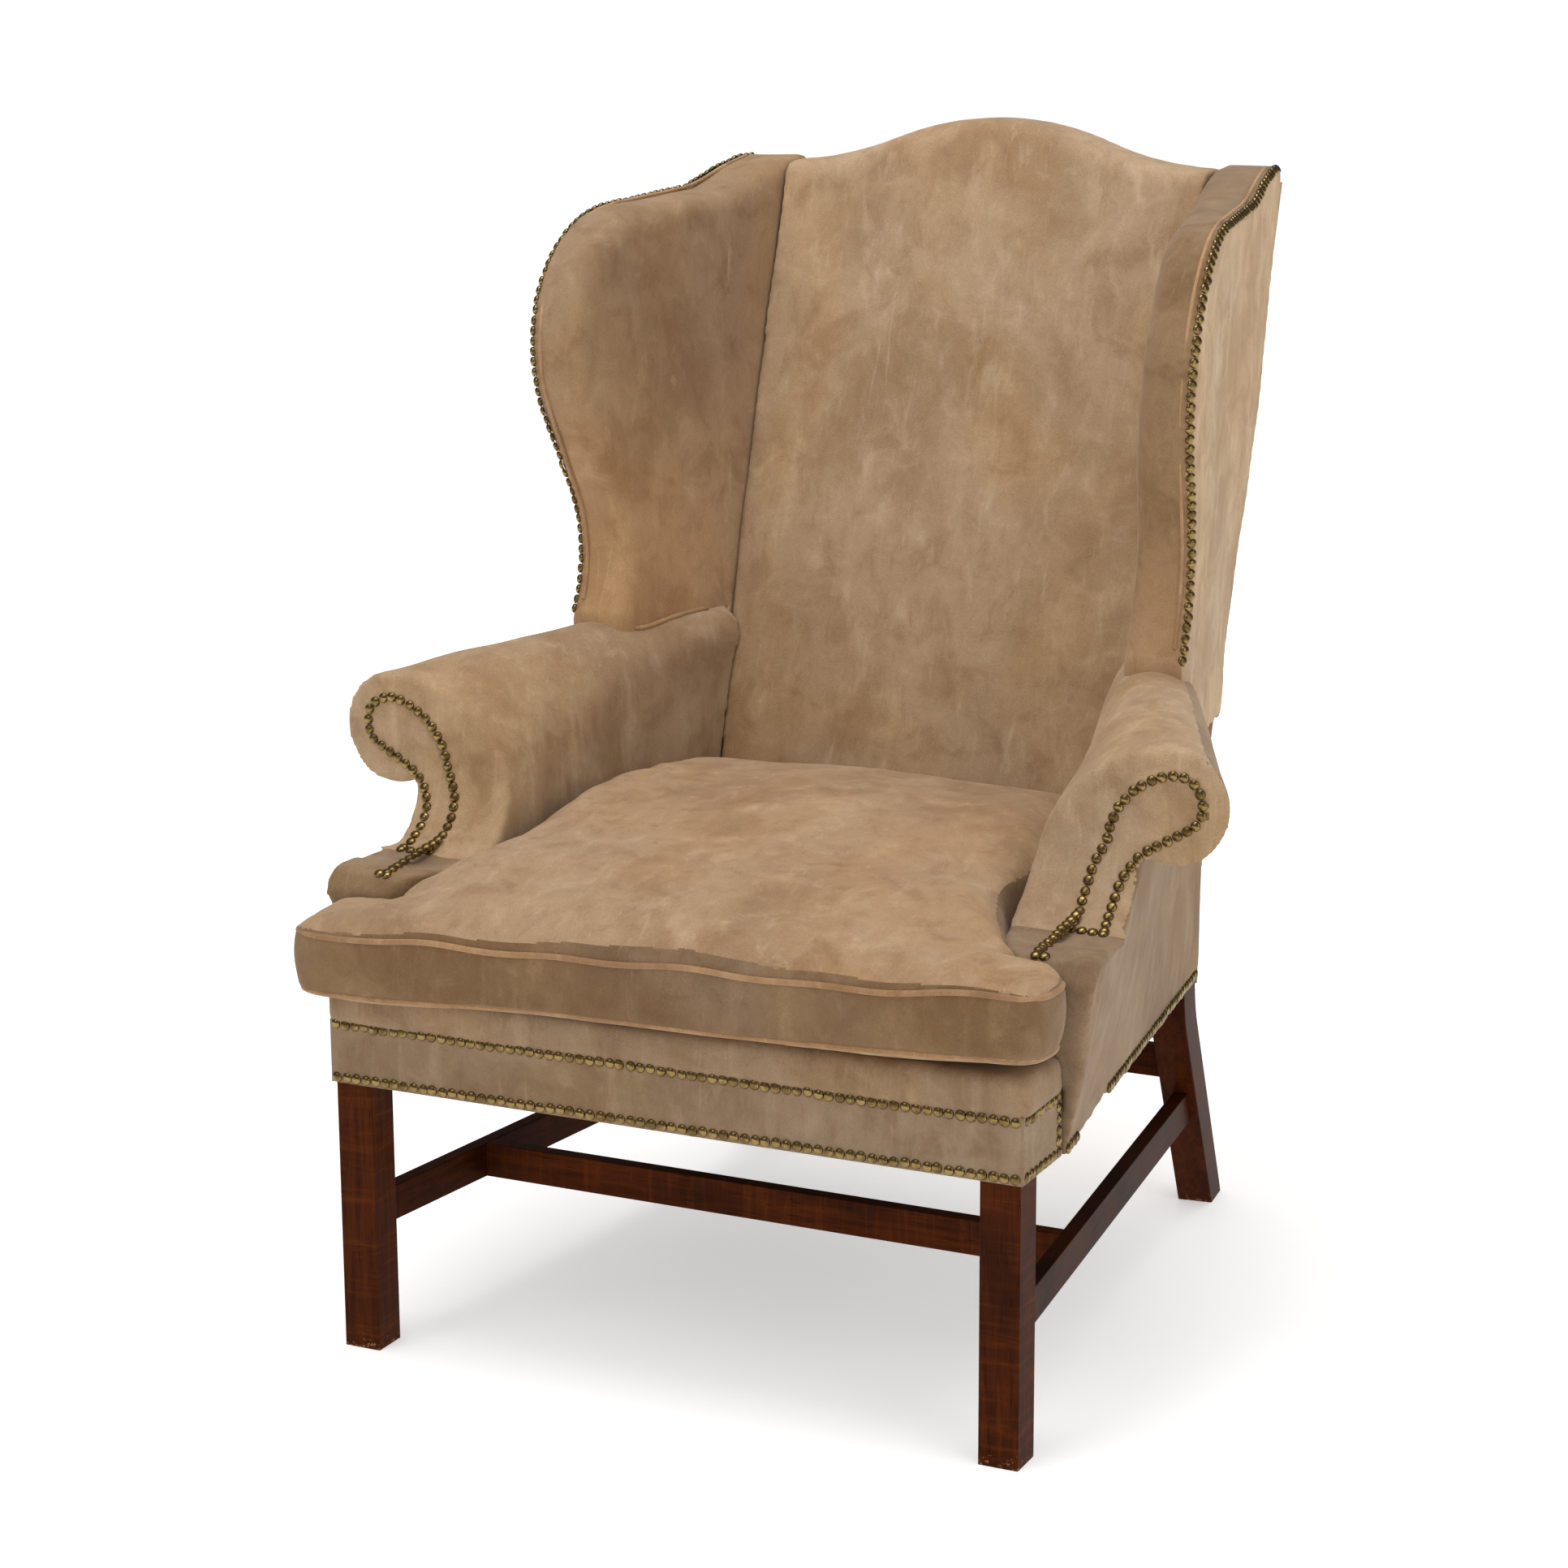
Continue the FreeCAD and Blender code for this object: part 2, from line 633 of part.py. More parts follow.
def panel_outline():
    """The outside arm panel seen from the side, under the scroll and down to its ogee lower edge."""
    return outline("YZ", (50, 267), (140, 268), (190, 270), (236, 276), (639.5, 276), (639.5, 470),
                   (back_rear(586) - 0.5, 586), (560, 582), (505, 570), (450, 546), (350, 524), (300, 519),
                   (50, 519))


def stump_return():
    """The panel's turn round the front of the arm stump, beside the border's end."""
    near = STUMP_FOOT[0] + 0.2, STUMP_TOP[0] + 0.2
    sheet_outline = outline("YZ", (near[0], 267), (near[0] + 2, 267), (near[1] + 2, 331.5), (near[1], 331.5))
    return prism("YZ", sheet_outline, 353.6, 420).common(arm_side_block(-30.0, -0.5))


def sided(label, shape, sign):
    """A piece made for the right side, or its mirror image for the left."""
    if sign < 0:
        shape = shape.mirror(Vector(0, 0, 0), Vector(1, 0, 0))
    return piece(label, shape)


def arms_and_wings():
    """Posts, rails, pads, covers, panels and facings of both arms and both wings."""
    gap, skin = size("pad_gap"), size("leather")
    near_arm = arm_envelope(-0.8, 300.0)
    near_back = back_slab(-0.8, 300.0)
    posts = post_zone(0.8)

    rail_start, rail_end = (377.0, 222.0, 556.0), (262.0, 598.0, 573.0)
    sections = []
    for x, y, z in (rail_start, rail_end):
        half = 17.0
        corners = ((x - half, z), (x + half, z), (x + half, z + 34), (x - half, z + 34))
        sections.append([Vector(across, y, up) for across, up in corners])
    arm_rail = hexa(*sections)
    post_side = outline("YZ", (106, 332), (150, 332), (182, 430), (246, 500), (262, 540), (262, 556), (222, 556),
                        (222, 532), (196, 486), (146, 448), (112, 440))
    post_front = outline("XZ", (316, 330), (346, 330), (350, 450), (372, 505), (396, 556), (352, 556),
                         (322, 500), (310, 450))
    arm_post = prism("YZ", post_side, 250, 450).common(prism("XZ", post_front, 60, 300))
    arm_post = arm_envelope(4 * gap, 300.0).common(arm_post)

    ring = wing_zone(-1.0, 6.0, 570.0).cut(prism("YZ", grown(wing_outline(570.0), -52), 150, 420))
    ring = ring.common(wing_block(lambda y, z: wing_outer(y, z) - 29, lambda y, z: wing_outer(y, z) - 4))
    front_part = Part.makeBox(200, 150, 380, Vector(200, 380, 607.4))
    top_part = Part.makeBox(200, 460, 120, Vector(200, 380, 987.4))
    wing_post = ring.common(front_part)
    wing_rail = ring.common(top_part).cut(posts)

    arm_pad = arm_envelope(gap).cut(posts).cut(near_back)
    hollow_low = [(316, 150), (346, 150), (280, 590), (258, 590)]
    hollow_high = [(330, 262), (352, 262), (276, 590), (256, 590)]
    inner_hollow = hexa([Vector(x, y, 336) for x, y in hollow_low], [Vector(x, y, 540) for x, y in hollow_high])
    for timber_piece in (wing_post, inner_hollow, arm_rail, arm_post):
        arm_pad = arm_pad.cut(timber_piece)
    open_side = hexa([Vector(panel_x(112, 338) - 8, 112, 338), Vector(420, 112, 338),
                      Vector(420, 610, 338), Vector(panel_x(610, 338) - 8, 610, 338)],
                     [Vector(panel_x(112, 500) - 8, 232, 500), Vector(420, 232, 500),
                      Vector(420, 610, 500), Vector(panel_x(610, 500) - 8, 610, 500)])
    arm_cover = arm_envelope(0.0).cut(arm_envelope(skin, 320.0)).cut(open_side)
    arm_cover = arm_cover.cut(wing_post).cut(posts).cut(near_back)
    facing = scroll_band(0.1, 3.0).common(prism("XZ", scroll_outline(0.0), 60, 300))

    wing_pad = wing_slab(gap).cut(wing_zone(0.6, 5.0)).cut(posts).cut(near_arm).cut(near_back)
    wing_pad = wing_pad.cut(crest_block(0.6, 60.0))
    window = prism("YZ", grown(wing_outline(), -12), 150, 420).common(
        wing_block(lambda y, z: wing_outer(y, z) - 5, lambda y, z: wing_outer(y, z) + 9))
    wing_cover = wing_slab(0.0).cut(wing_slab(skin)).cut(window).cut(posts).cut(near_arm).cut(near_back)
    outside_wing = rounded(prism("YZ", grown(wing_outline(590.0, 3.5), -4.0), 150, 420), 12.0,
                           lambda edge: edge.Length > 200 and middle(edge).y > 790)
    outside_wing = outside_wing.common(
        wing_block(lambda y, z: wing_outer(y, z) + 0.1, lambda y, z: wing_outer(y, z) + 2.1)).cut(near_arm)
    outside_arm = prism("YZ", panel_outline(), 200, 420).common(arm_side_block(-2.0, 0.0)).cut(near_arm)
    outside_arm = outside_arm.cut(arm_front(0.2)).fuse(stump_return()).removeSplitter()
    for side, sign in SIDES:
        for name, shape in (("arm_post", arm_post), ("arm_rail", arm_rail), ("wing_post", wing_post),
                            ("wing_rail", wing_rail), ("arm_pad", arm_pad), ("arm_cover", arm_cover),
                            ("arm_facing", facing), ("wing_pad", wing_pad), ("wing_cover", wing_cover),
                            ("outside_wing", outside_wing),
                            ("outside_arm", outside_arm)):
            sided("%s_%s" % (name, side), shape, sign)


# The seat

def arm_inner(y):
    """x of the arm's inner face at a depth, between the stations that give it."""
    for near, far in zip(ARM_STATIONS, ARM_STATIONS[1:]):
        if near[0] <= y <= far[0]:
            share = (y - near[0]) / (far[0] - near[0])
            return (near[1] - near[4]) * (1 - share) + (far[1] - far[4]) * share
    raise ValueError("depth %g is outside the arm" % y)


def deck_outline(inset):
    """Plan of the platform under the cushion: a front lip with ears, then the seat between the arms."""
    half = [(359, 84), (322, 84.5)]
    half += [(arm_inner(y) - 4, y) for y in (90, 130, 180, 250, 300, 350, 400, 450, 508)]
    points = half + [(-x, y) for x, y in reversed(half)]
    corner, bend = (343, 10.5), (354.3, -0.8)
    wire = outline("XY", (359, corner[1]), *points, (-359, corner[1]), ((-bend[0], bend[1]), (-corner[0], -5.5)),
                   (corner[0], -5.5), (bend, (359, corner[1])))
    return grown(wire, -inset)


def deck_slab(inset, low):
    """The platform, with its top edges rolled."""
    high = size("deck_high") - inset
    slab = prism("XY", deck_outline(inset), low, high)
    front = [edge for edge in slab.Edges if middle(edge).z > high - 0.01 and middle(edge).y < 50]
    return slab.makeFillet(12 - inset, front)


def springs():
    """Coil springs that stand on the webbing, each one unbroken wire."""
    wire_radius, radius = size("spring_wire"), size("spring_radius")
    bottom = size("rail_low") + wire_radius + 0.2
    height = size("rail_high") - wire_radius - bottom - 0.2
    spans = int(2 * size("spring_turns"))
    coils = []
    gap = height / size("spring_turns") - 2 * wire_radius
    print("spring coils: %.1f mm between turns" % gap)
    for x in (-150, 0, 150):
        for y in (130, 290, 450):
            edges = []
            for number in range(spans):
                edges += helix_span(Vector(x, y, bottom), radius, height / size("spring_turns"), number)
            path = Part.Wire(edges)
            start, along = edges[0].valueAt(edges[0].FirstParameter), edges[0].tangentAt(edges[0].FirstParameter)
            section = Part.Wire(Part.makeCircle(wire_radius, start, along))
            coils.append(path.makePipeShell([section], True, False))
    return Part.makeCompound(coils)


def helix_span(base, radius, pitch, number):
    """Half a turn of a helix as two arcs that are tangent to it at their ends and to each other."""
    def at(turn):
        return base + Vector(radius * math.cos(turn), radius * math.sin(turn), pitch * turn / (2 * math.pi))

    def heading(turn):
        return Vector(-radius * math.sin(turn), radius * math.cos(turn), pitch / (2 * math.pi)).normalize()

    start, end = at(number * math.pi), at((number + 1) * math.pi)
    leave, arrive = heading(number * math.pi), heading((number + 1) * math.pi)
    chord = end - start
    both = leave + arrive
    spread = 2 * (1 - leave.dot(arrive))
    length = (math.sqrt(chord.dot(both) ** 2 + spread * chord.dot(chord)) - chord.dot(both)) / spread
    meet = (start + end + (leave - arrive) * length) / 2
    return [tangent_arc(start, start + leave * length, meet), tangent_arc(meet, end - arrive * length, end)]


def tangent_arc(start, corner, end):
    """The arc from start to end whose end tangents meet at corner."""
    half_chord = (end - start).Length / 2
    leg = (corner - start).Length
    share = half_chord / (leg + half_chord)
    crown = (start + end) / 2 * (1 - share) + corner * share
    return Part.Arc(start, crown, end).toShape()


def seat():
    """Corner blocks, webbing, springs, platform and the covers round the seat frame."""
    strap, thick = size("strap_width"), size("strap_thick")
    skin = size("leather")
    front_block = [(250, 28.1), (311.3, 28.1), (311.3, 38.7), (318.4, 38.7), (314.0, 79)]
    rear_block = [(195, 598.8), (250.8, 598.8), (252.6, 580.6), (258.4, 580.6), (263.2, 537)]
    blocks = []
    for corners in (front_block, rear_block):
        for _, sign in SIDES:
            points = [(sign * x, y) for x, y in corners]
            blocks.append(prism("XY", outline("XY", points[0], *points[1:]), 286, 318))
    piece("corner_blocks", Part.makeCompound(blocks))

    top = size("rail_low") - 0.1
    straps = []
    for number in range(5):
        x = -200.0 + 100.0 * number
        straps.append(Part.makeBox(strap, 612, thick, Vector(x - strap / 2, 7, top - thick)))
    for number in range(4):
        y = 130.0 + 120.0 * number
        reach = size("half_front") - 9 - 0.1107 * (y + strap)
        straps.append(Part.makeBox(2 * reach, strap, thick, Vector(-reach, y - strap / 2, top - 2 * thick - 0.1)))
    piece("seat_webbing", Part.makeCompound(straps))
    piece("seat_springs", springs())

    cloth = [(305, 6), (305, 40), (336, 40), (284, 596), (247, 596), (247, 620)]
    points = cloth + [(-x, y) for x, y in reversed(cloth)]
    rail_top = size("rail_high")
    piece("spring_cover", prism("XY", outline("XY", points[0], *points[1:]), rail_top + 0.1, rail_top + 1.5))
    lining = [(308, 5), (308, 42), (332, 42), (276, 576), (246, 576), (246, 622)]
    points = lining + [(-x, y) for x, y in reversed(lining)]
    piece("dust_cover", prism("XY", outline("XY", points[0], *points[1:]), 267.4, 268.4))

    near_arm = arm_envelope(-0.8, 300.0)
    near_arms = near_arm.fuse(near_arm.mirror(Vector(0, 0, 0), Vector(1, 0, 0)))
    piece("deck_pad", deck_slab(size("pad_gap"), rail_top + 2.0).cut(near_arms))
    lip = prism("XY", deck_outline(0.0), rail_top + 0.1, rail_top + 4)
    lip = lip.cut(prism("XY", deck_outline(skin), 320, 340))
    lip = lip.common(Part.makeBox(800, 89, 40, Vector(-400, -8, 310)))
    deck_cover = deck_slab(0.0, rail_top + 2.0).cut(deck_slab(skin, rail_top - 5))
    piece("deck_cover", deck_cover.fuse(lip).removeSplitter().cut(near_arms))

    low, high = size("cover_low"), size("border_high")
    band = Part.makeBox(706, 91, high - low, Vector(-353, -3, low))
    band = rounded(band, 2.5, lambda edge: edge.Length < 60 and edge.CenterOfMass.y < 0)
    inside = Part.makeBox(702, 120, high, Vector(-351, -1, low - 10))
    piece("front_border", band.cut(inside))

    rear = outline("YZ", (640.2, 270), (642.2, 270), (642.2, 470), (back_rear(1160) + 2.2, 1160),
                   (back_rear(1160) + 0.2, 1160), (640.2, 470))
    square = camel(15.0, lambda z: 298.0 + 0.016 * (z - 270), 270)
    piece("outside_back", prism("YZ", rear, -300, 300).common(prism("XZ", square, 500, 1000)))


# The loose cushion

CUSHION_STATIONS = (
    # depth, half width at the seam, rise of the side over the seam, rise of the crown, lean, tuck of the ends
    (-30, 340, -3, -2, 0, 7),
    (-26, 354, 3, 5, 0, 2),
    (-20, 366, 5, 12, 0, 0),
    (-6, 372, 7, 20, 0, 0),
    (20, 374, 10, 30, 0, 0),
    (46, 369, 13, 38, 0, 0),
    (50.5, 362, 14, 39, 0, 0),
    (54.5, 322, 15, 40, 0, 0),
    (90, 294, 19, 46, 0, 0),
    (130, 275, 24, 52, 0, 0),
    (180, 267, 31, 59, 0, 0),
    (240, 268.6, 42, 68, 0, 0),
    (300, 269, 51, 73, 0, 0),
    (350, 263, 56, 73, 0.05, 0),
    (400, 252, 57, 71, 0.1, 0),
    (450, 238, 53, 66, 0.18, 0),
    (490, 225, 42, 57, 0.26, 0),
    (508, 216, 30, 45, 0.3126, 0),
    (514, 205, 22, 36, 0.3126, 3),
)


def cushion_solid(inset):
    """The cushion: boxed sides that are drawn in at the seams, and a crown that rises to the middle."""
    low, seam = size("cushion_low"), size("cushion_seam")
    wires = []
    last = len(CUSHION_STATIONS) - 1
    for number, (y, half, side, crown, lean, tuck) in enumerate(CUSHION_STATIONS):
        depth = y + inset * ((number == 0) - (number == last))
        base = low + tuck + inset
        rim = seam - tuck
        reach = half - inset
        shoulder = rim + side - inset

        def at(x, z, depth=depth, lean=lean):
            return Vector(x, depth + lean * (z - low), z)

        def flank(sign, reach=reach, base=base, rim=rim, shoulder=shoulder, at=at):
            points = [at(sign * (reach - 5), base), at(sign * (reach + 2.5), (base + rim) / 2),
                      at(sign * (reach - 1), rim - inset / 2),
                      at(sign * (reach - 7), rim + 0.7 * (shoulder - rim)), at(sign * (reach - 28), shoulder)]
            return points

        right, left = flank(1), flank(-1)
        top = at(0, rim + crown - inset)
        edges = [
            Part.makeLine(left[0], right[0]),
            Part.Arc(right[0], right[1], right[2]).toShape(),
            Part.Arc(right[2], right[3], right[4]).toShape(),
            Part.Arc(right[4], top, left[4]).toShape(),
            Part.Arc(left[4], left[3], left[2]).toShape(),
            Part.Arc(left[2], left[1], left[0]).toShape(),
        ]
        wires.append(Part.Wire(edges))
    return Part.makeLoft(wires, True, True)


def welt(points, radius):
    """A piped welt: straight runs joined by tangent arcs, each as large as its runs allow."""
    edges = []
    last = points[0]
    for before, corner, after in zip(points, points[1:], points[2:]):
        come, go = (before - corner), (after - corner)
        reach = 0.45 * min(come.Length, go.Length)
        start = corner + come.normalize() * reach
        end = corner + go.normalize() * reach
        edges += [Part.makeLine(last, start), tangent_arc(start, corner, end)]
        last = end
    edges.append(Part.makeLine(last, points[-1]))
    section = Part.Wire(Part.makeCircle(radius, points[0], points[1] - points[0]))
    return Part.Wire(edges).makePipeShell([section], True, False)


def cushion_seam_line(z, out):
    """Half the cushion's seam at a height: from the front's middle, round the right, to the back's middle."""
    low = size("cushion_low")
    points = [Vector(0, -30 - out, z)]
    points += [Vector(half + out, y + lean * (z - low), z) for y, half, _, _, lean, _ in CUSHION_STATIONS[1:-1]]
    points.append(Vector(0, 514 + out + size("back_slope") * (z - low), z))
    return points


def cushion():
    """Core, the three parts of the cover, welts, zip and slider of the loose T-cushion."""
    low, seam = size("cushion_low"), size("cushion_seam")
    piece("cushion_core", cushion_solid(size("pad_gap")))
    shell = cushion_solid(0.0).cut(cushion_solid(size("leather")))
    bottom_seam = low + 5

    def slice_of(bottom, top):
        return shell.common(Part.makeBox(900, 700, top - bottom, Vector(-450, -100, bottom)))

    piece("cushion_top", slice_of(seam, 560))
    piece("cushion_boxing", slice_of(bottom_seam, seam))
    piece("cushion_bottom", slice_of(low - 5, bottom_seam))
    welts = []
    for z in (seam, bottom_seam):
        half = welt(cushion_seam_line(z, 0.0), size("welt_radius"))
        welts += [half, half.mirror(Vector(0, 0, 0), Vector(1, 0, 0))]
    piece("cushion_welts", Part.makeCompound(welts))

    slope = size("back_slope")
    rear = 514.0 + 0.1

    def layer(z_low, z_high, near, far):
        shift = slope * (z_low - low), slope * (z_high - low)
        return outline("YZ", (rear + near * LEAN + shift[0], z_low), (rear + far * LEAN + shift[0], z_low),
                       (rear + far * LEAN + shift[1], z_high), (rear + near * LEAN + shift[1], z_high))

    tape = prism("YZ", layer(386, 412, 0.0, 0.8), -192, 192)
    teeth = prism("YZ", layer(396.5, 401.5, 0.8, 2.2), -190, 190)
    piece("cushion_zip", tape.fuse(teeth))
    slider = prism("YZ", layer(393.5, 404.5, 2.5, 5.0), 176, 187)
    pull = prism("YZ", layer(396.5, 401.5, 5.0, 6.2), 152, 184)
    piece("zip_slider", slider.fuse(pull))


# Brass nails

def nail():
    """A domed head with its shank, head up, the underside of the head at zero."""
    base = size("nail_radius")
    rise = 0.56 * base
    ball = (base ** 2 + rise ** 2) / (2 * rise)
    head = Part.makeSphere(ball, Vector(0, 0, rise - ball), Vector(0, 0, 1),
                           math.degrees(math.asin((ball - rise) / ball)), 90, 360)
    shank = Part.makeCylinder(1.0, size("nail_shank") + 0.2, Vector(0, 0, -size("nail_shank")))
    return head.fuse(shank)


def nail_at(place, out):
    """A nail driven at a place, its head facing out."""
    turn = FreeCAD.Rotation(Vector(0, 0, 1), out)
    driven = NAIL.copy()
    driven.Placement = FreeCAD.Placement(place, turn)
    return driven


def spaced(points, pitch=None):
    """Places at an even pitch, near the wanted one, along a run of points; each with its share of the way."""
    pitch = pitch or size("nail_pitch")
    lengths = [(b - a).Length for a, b in zip(points, points[1:])]
    total = sum(lengths)
    count = max(1, round(total / pitch))
    places = []
    for number in range(count + 1):
        want = total * number / count
        index = 0
        while index < len(lengths) - 1 and want > lengths[index]:
            want -= lengths[index]
            index += 1
        step = (points[index + 1] - points[index]).normalize()
        places.append(points[index] + step * want)
    return places


def scroll_nails():
    """Nails round the right arm's facing: up the inside, over the scroll, down the outside, across the foot."""
    line = scroll_outline(4.6)
    samples = [at for edge in line.OrderedEdges for at in edge.discretize(14)]
    rim = [Vector(at.x, scroll_surface(at.z, 3.0), at.z) for at in samples if at.z > FOOT_TOP + 3.0]
    highest_start = min(range(len(rim)), key=lambda k: (rim[k].z > 470, rim[k].x))
    rim = rim[highest_start:] + rim[:highest_start]
    if rim[1].z < rim[0].z:
        rim.reverse()
    inner, outer = rim[0].x, rim[-1].x
    foot = FOOT_TOP + 3.1
    turned = on_circle(KNOB, KNOB_RADIUS + 3.1, 116)
    path = [Vector(inner, *turned), Vector(inner, KNOB[0], foot)] + rim
    path += [Vector(outer, KNOB[0], foot), Vector(outer, *turned), Vector(inner + 8, *turned)]
    nails = []
    for at in spaced(path):
        if at.z >= SCROLL_AXIS[1]:
            out = Vector(0, -1, 0)
        elif at.y > 129:
            out = Vector(0, SCROLL_AXIS[0] - at.y, SCROLL_AXIS[1] - at.z)
        elif at.y < KNOB[0]:
            out = Vector(0, at.y - KNOB[0], at.z - KNOB[1])
        else:
            out = Vector(0, 0, 1)
        nails.append(nail_at(at, out))
    return nails


def wing_edge_nails():
    """Nails round the outside edge of the right wing, from the arm up to the back corner."""
    samples = [at for edge in grown(wing_outline(), -1.8).OrderedEdges for at in edge.discretize(16)]
    places = spaced(run_upwards([at for at in samples if at.z > 644 and at.y < back_rear(at.z) - 22]))
    side = Vector(1, 0.155, -0.155 * 0.297)
    nails = []
    for before, at, after in zip(places[:1] + places, places, places[1:] + places[-1:]):
        along = (after - before).normalize()
        out = side + Vector(0, -along.z, along.y) * 0.84
        nails.append(nail_at(Vector(wing_outer(at.y, at.z) + 0.4, at.y, at.z), out))
    return nails


def wing_welts():
    """Welts that edge both wings, from the arm round the waist and ear to the back corner."""
    inset = 9.0
    radius = 2.0
    samples = []
    for edge in grown(wing_outline(), 0.4).OrderedEdges:
        curved = edge.Curve.TypeId == "Part::GeomCircle"
        samples += edge.discretize(8 if curved else 2)[:-1]
    front = run_upwards([at for at in samples if at.z > 648 and at.y < back_rear(at.z) - 22])
    tube = welt([Vector(wing_outer(at.y, at.z) - inset, at.y, at.z) for at in front], radius)
    piece("wing_welts", Part.makeCompound(both_sides([tube])))


def run_upwards(ring):
    """The points of an open stretch of a ring in order, its lowest first."""
    start = min(range(len(ring)), key=lambda k: ring[k].z)
    ordered = ring[start:] + ring[:start]
    if ordered[1].z < ordered[0].z:
        ordered = ordered[:1] + ordered[:0:-1]
    return ordered


def both_sides(nails):
    """The nails and their mirror images."""
    return nails + [one.mirror(Vector(0, 0, 0), Vector(1, 0, 0)) for one in nails]


def nail_rows():
    """All rows of nails."""
    face = -3.05
    low, high = size("cover_low") + 5.6, size("border_high") - 4.4
    front = []
    for z in (low, high):
        row = spaced([Vector(-346.5, face, z), Vector(346.5, face, z)])
        front += [nail_at(at, Vector(0, -1, 0)) for at in row]
    side = []
    for z in (low, high):
        run = spaced([Vector(353.05, 7, z), Vector(353.05, 80.5, z)])
        side += [nail_at(at, Vector(1, 0, 0)) for at in run]
    upright = spaced([Vector(353.05, 80.5, low), Vector(353.05, 80.5, high)])
    side += [nail_at(at, Vector(1, 0, 0)) for at in upright[1:-1]]
    out = Vector(1, 0.135, 0).normalize()
    stump_row = [Vector(0, 95, 273), Vector(0, 127, 273.8)]
    long_row = [Vector(0, 246, 281.6), Vector(0, 632, 281.6)]
    for at in spaced(stump_row) + spaced(long_row):
        side.append(nail_at(Vector(panel_x(at.y, at.z) + 0.1, at.y, at.z), out))
    piece("rail_nails", Part.makeCompound(front + both_sides(side)))
    piece("arm_and_wing_nails", Part.makeCompound(both_sides(scroll_nails() + wing_edge_nails())))


NAIL = nail()
wood_frame()
back()
arms_and_wings()
seat()
cushion()
nail_rows()
wing_welts()
doc.recompute()
for thing in doc.Objects:
    if {"Invalid", "Error"} & set(thing.State):
        raise RuntimeError("%s failed: %s" % (thing.Label, thing.State))
for thing in parts:
    if thing.Shape.isNull() or not thing.Shape.isValid():
        raise RuntimeError("%s has no valid shape" % thing.Label)
os.makedirs("parts", exist_ok=True)
for thing in parts:
    thing.Shape.exportStep("parts/%s.step" % thing.Label)
print("%d sub-parts written" % len(parts))
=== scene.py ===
"""Looks of a wingback armchair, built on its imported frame: suede covers, welts, brass nails and old mahogany.

Metres, +Z up, the chair faces -Y. Soft pieces start from the frame's own solids: they are joined and
remeshed into one skin, relaxed, swollen or creased, and then given their seams and nails.
"""

import json
import math
import random

import bmesh
import bpy
import numpy as np
from mathutils import Matrix, Vector, kdtree
from mathutils.bvhtree import BVHTree

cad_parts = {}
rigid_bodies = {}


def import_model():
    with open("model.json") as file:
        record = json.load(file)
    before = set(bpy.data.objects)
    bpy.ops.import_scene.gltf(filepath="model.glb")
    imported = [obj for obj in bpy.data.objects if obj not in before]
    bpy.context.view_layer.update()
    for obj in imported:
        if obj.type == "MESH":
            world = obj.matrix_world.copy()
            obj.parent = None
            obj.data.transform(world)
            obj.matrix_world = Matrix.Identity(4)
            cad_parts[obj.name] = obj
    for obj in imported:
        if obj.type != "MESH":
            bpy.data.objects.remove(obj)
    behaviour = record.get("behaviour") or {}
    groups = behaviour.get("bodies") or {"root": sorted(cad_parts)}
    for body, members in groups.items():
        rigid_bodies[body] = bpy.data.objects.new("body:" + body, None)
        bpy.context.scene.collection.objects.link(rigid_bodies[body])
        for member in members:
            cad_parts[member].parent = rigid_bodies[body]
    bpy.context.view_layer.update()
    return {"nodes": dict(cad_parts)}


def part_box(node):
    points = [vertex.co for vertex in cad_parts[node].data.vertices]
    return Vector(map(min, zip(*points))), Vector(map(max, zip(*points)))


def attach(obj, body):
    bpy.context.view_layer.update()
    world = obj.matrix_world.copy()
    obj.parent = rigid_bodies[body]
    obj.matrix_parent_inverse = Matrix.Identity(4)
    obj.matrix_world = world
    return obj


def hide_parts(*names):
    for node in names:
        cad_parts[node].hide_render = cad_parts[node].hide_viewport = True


bl_info = {
    "name": "Wingback Armchair",
    "version": (1, 0, 0),
    "blender": (4, 5, 0),
    "location": "3D View > Sidebar > Armchair",
    "description": "Dresses the packed frame of a suede wingback armchair",
    "category": "Object",
}

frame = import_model()
NODES = frame["nodes"]
SIDES = (("left", -1), ("right", 1))
SHEET_STEP = 0.0022
CUSHION_SEAMS = (("cushion_top_welt", 0.427), ("cushion_bottom_welt", 0.3715))
PLATFORM = 0.3672
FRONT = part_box("front_leg_left")[0].y


# Settings

class ChairSettings(bpy.types.PropertyGroup):
    """What can be varied about the chair."""

    voxel: bpy.props.FloatProperty(
        name="Voxel", description="Size of the cells in which covers and pads are joined into one skin",
        default=0.005, min=0.003, max=0.01, unit="LENGTH")
    cushion_pressure: bpy.props.FloatProperty(
        name="Cushion pressure", description="Pressure that fills the loose cushion",
        default=4.0, min=0.0, max=10.0)
    cushion_swell: bpy.props.FloatProperty(
        name="Largest swell", description="The most that the filling may push the cushion's cover out",
        default=0.008, min=0.0, max=0.03, unit="LENGTH")
    unevenness: bpy.props.FloatProperty(
        name="Uneven stuffing", description="How far hand-laid stuffing lifts or lowers the covers",
        default=0.0022, min=0.0, max=0.006, unit="LENGTH")
    seed: bpy.props.IntProperty(
        name="Seed", description="Start of the random draws for stuffing and nails", default=7)


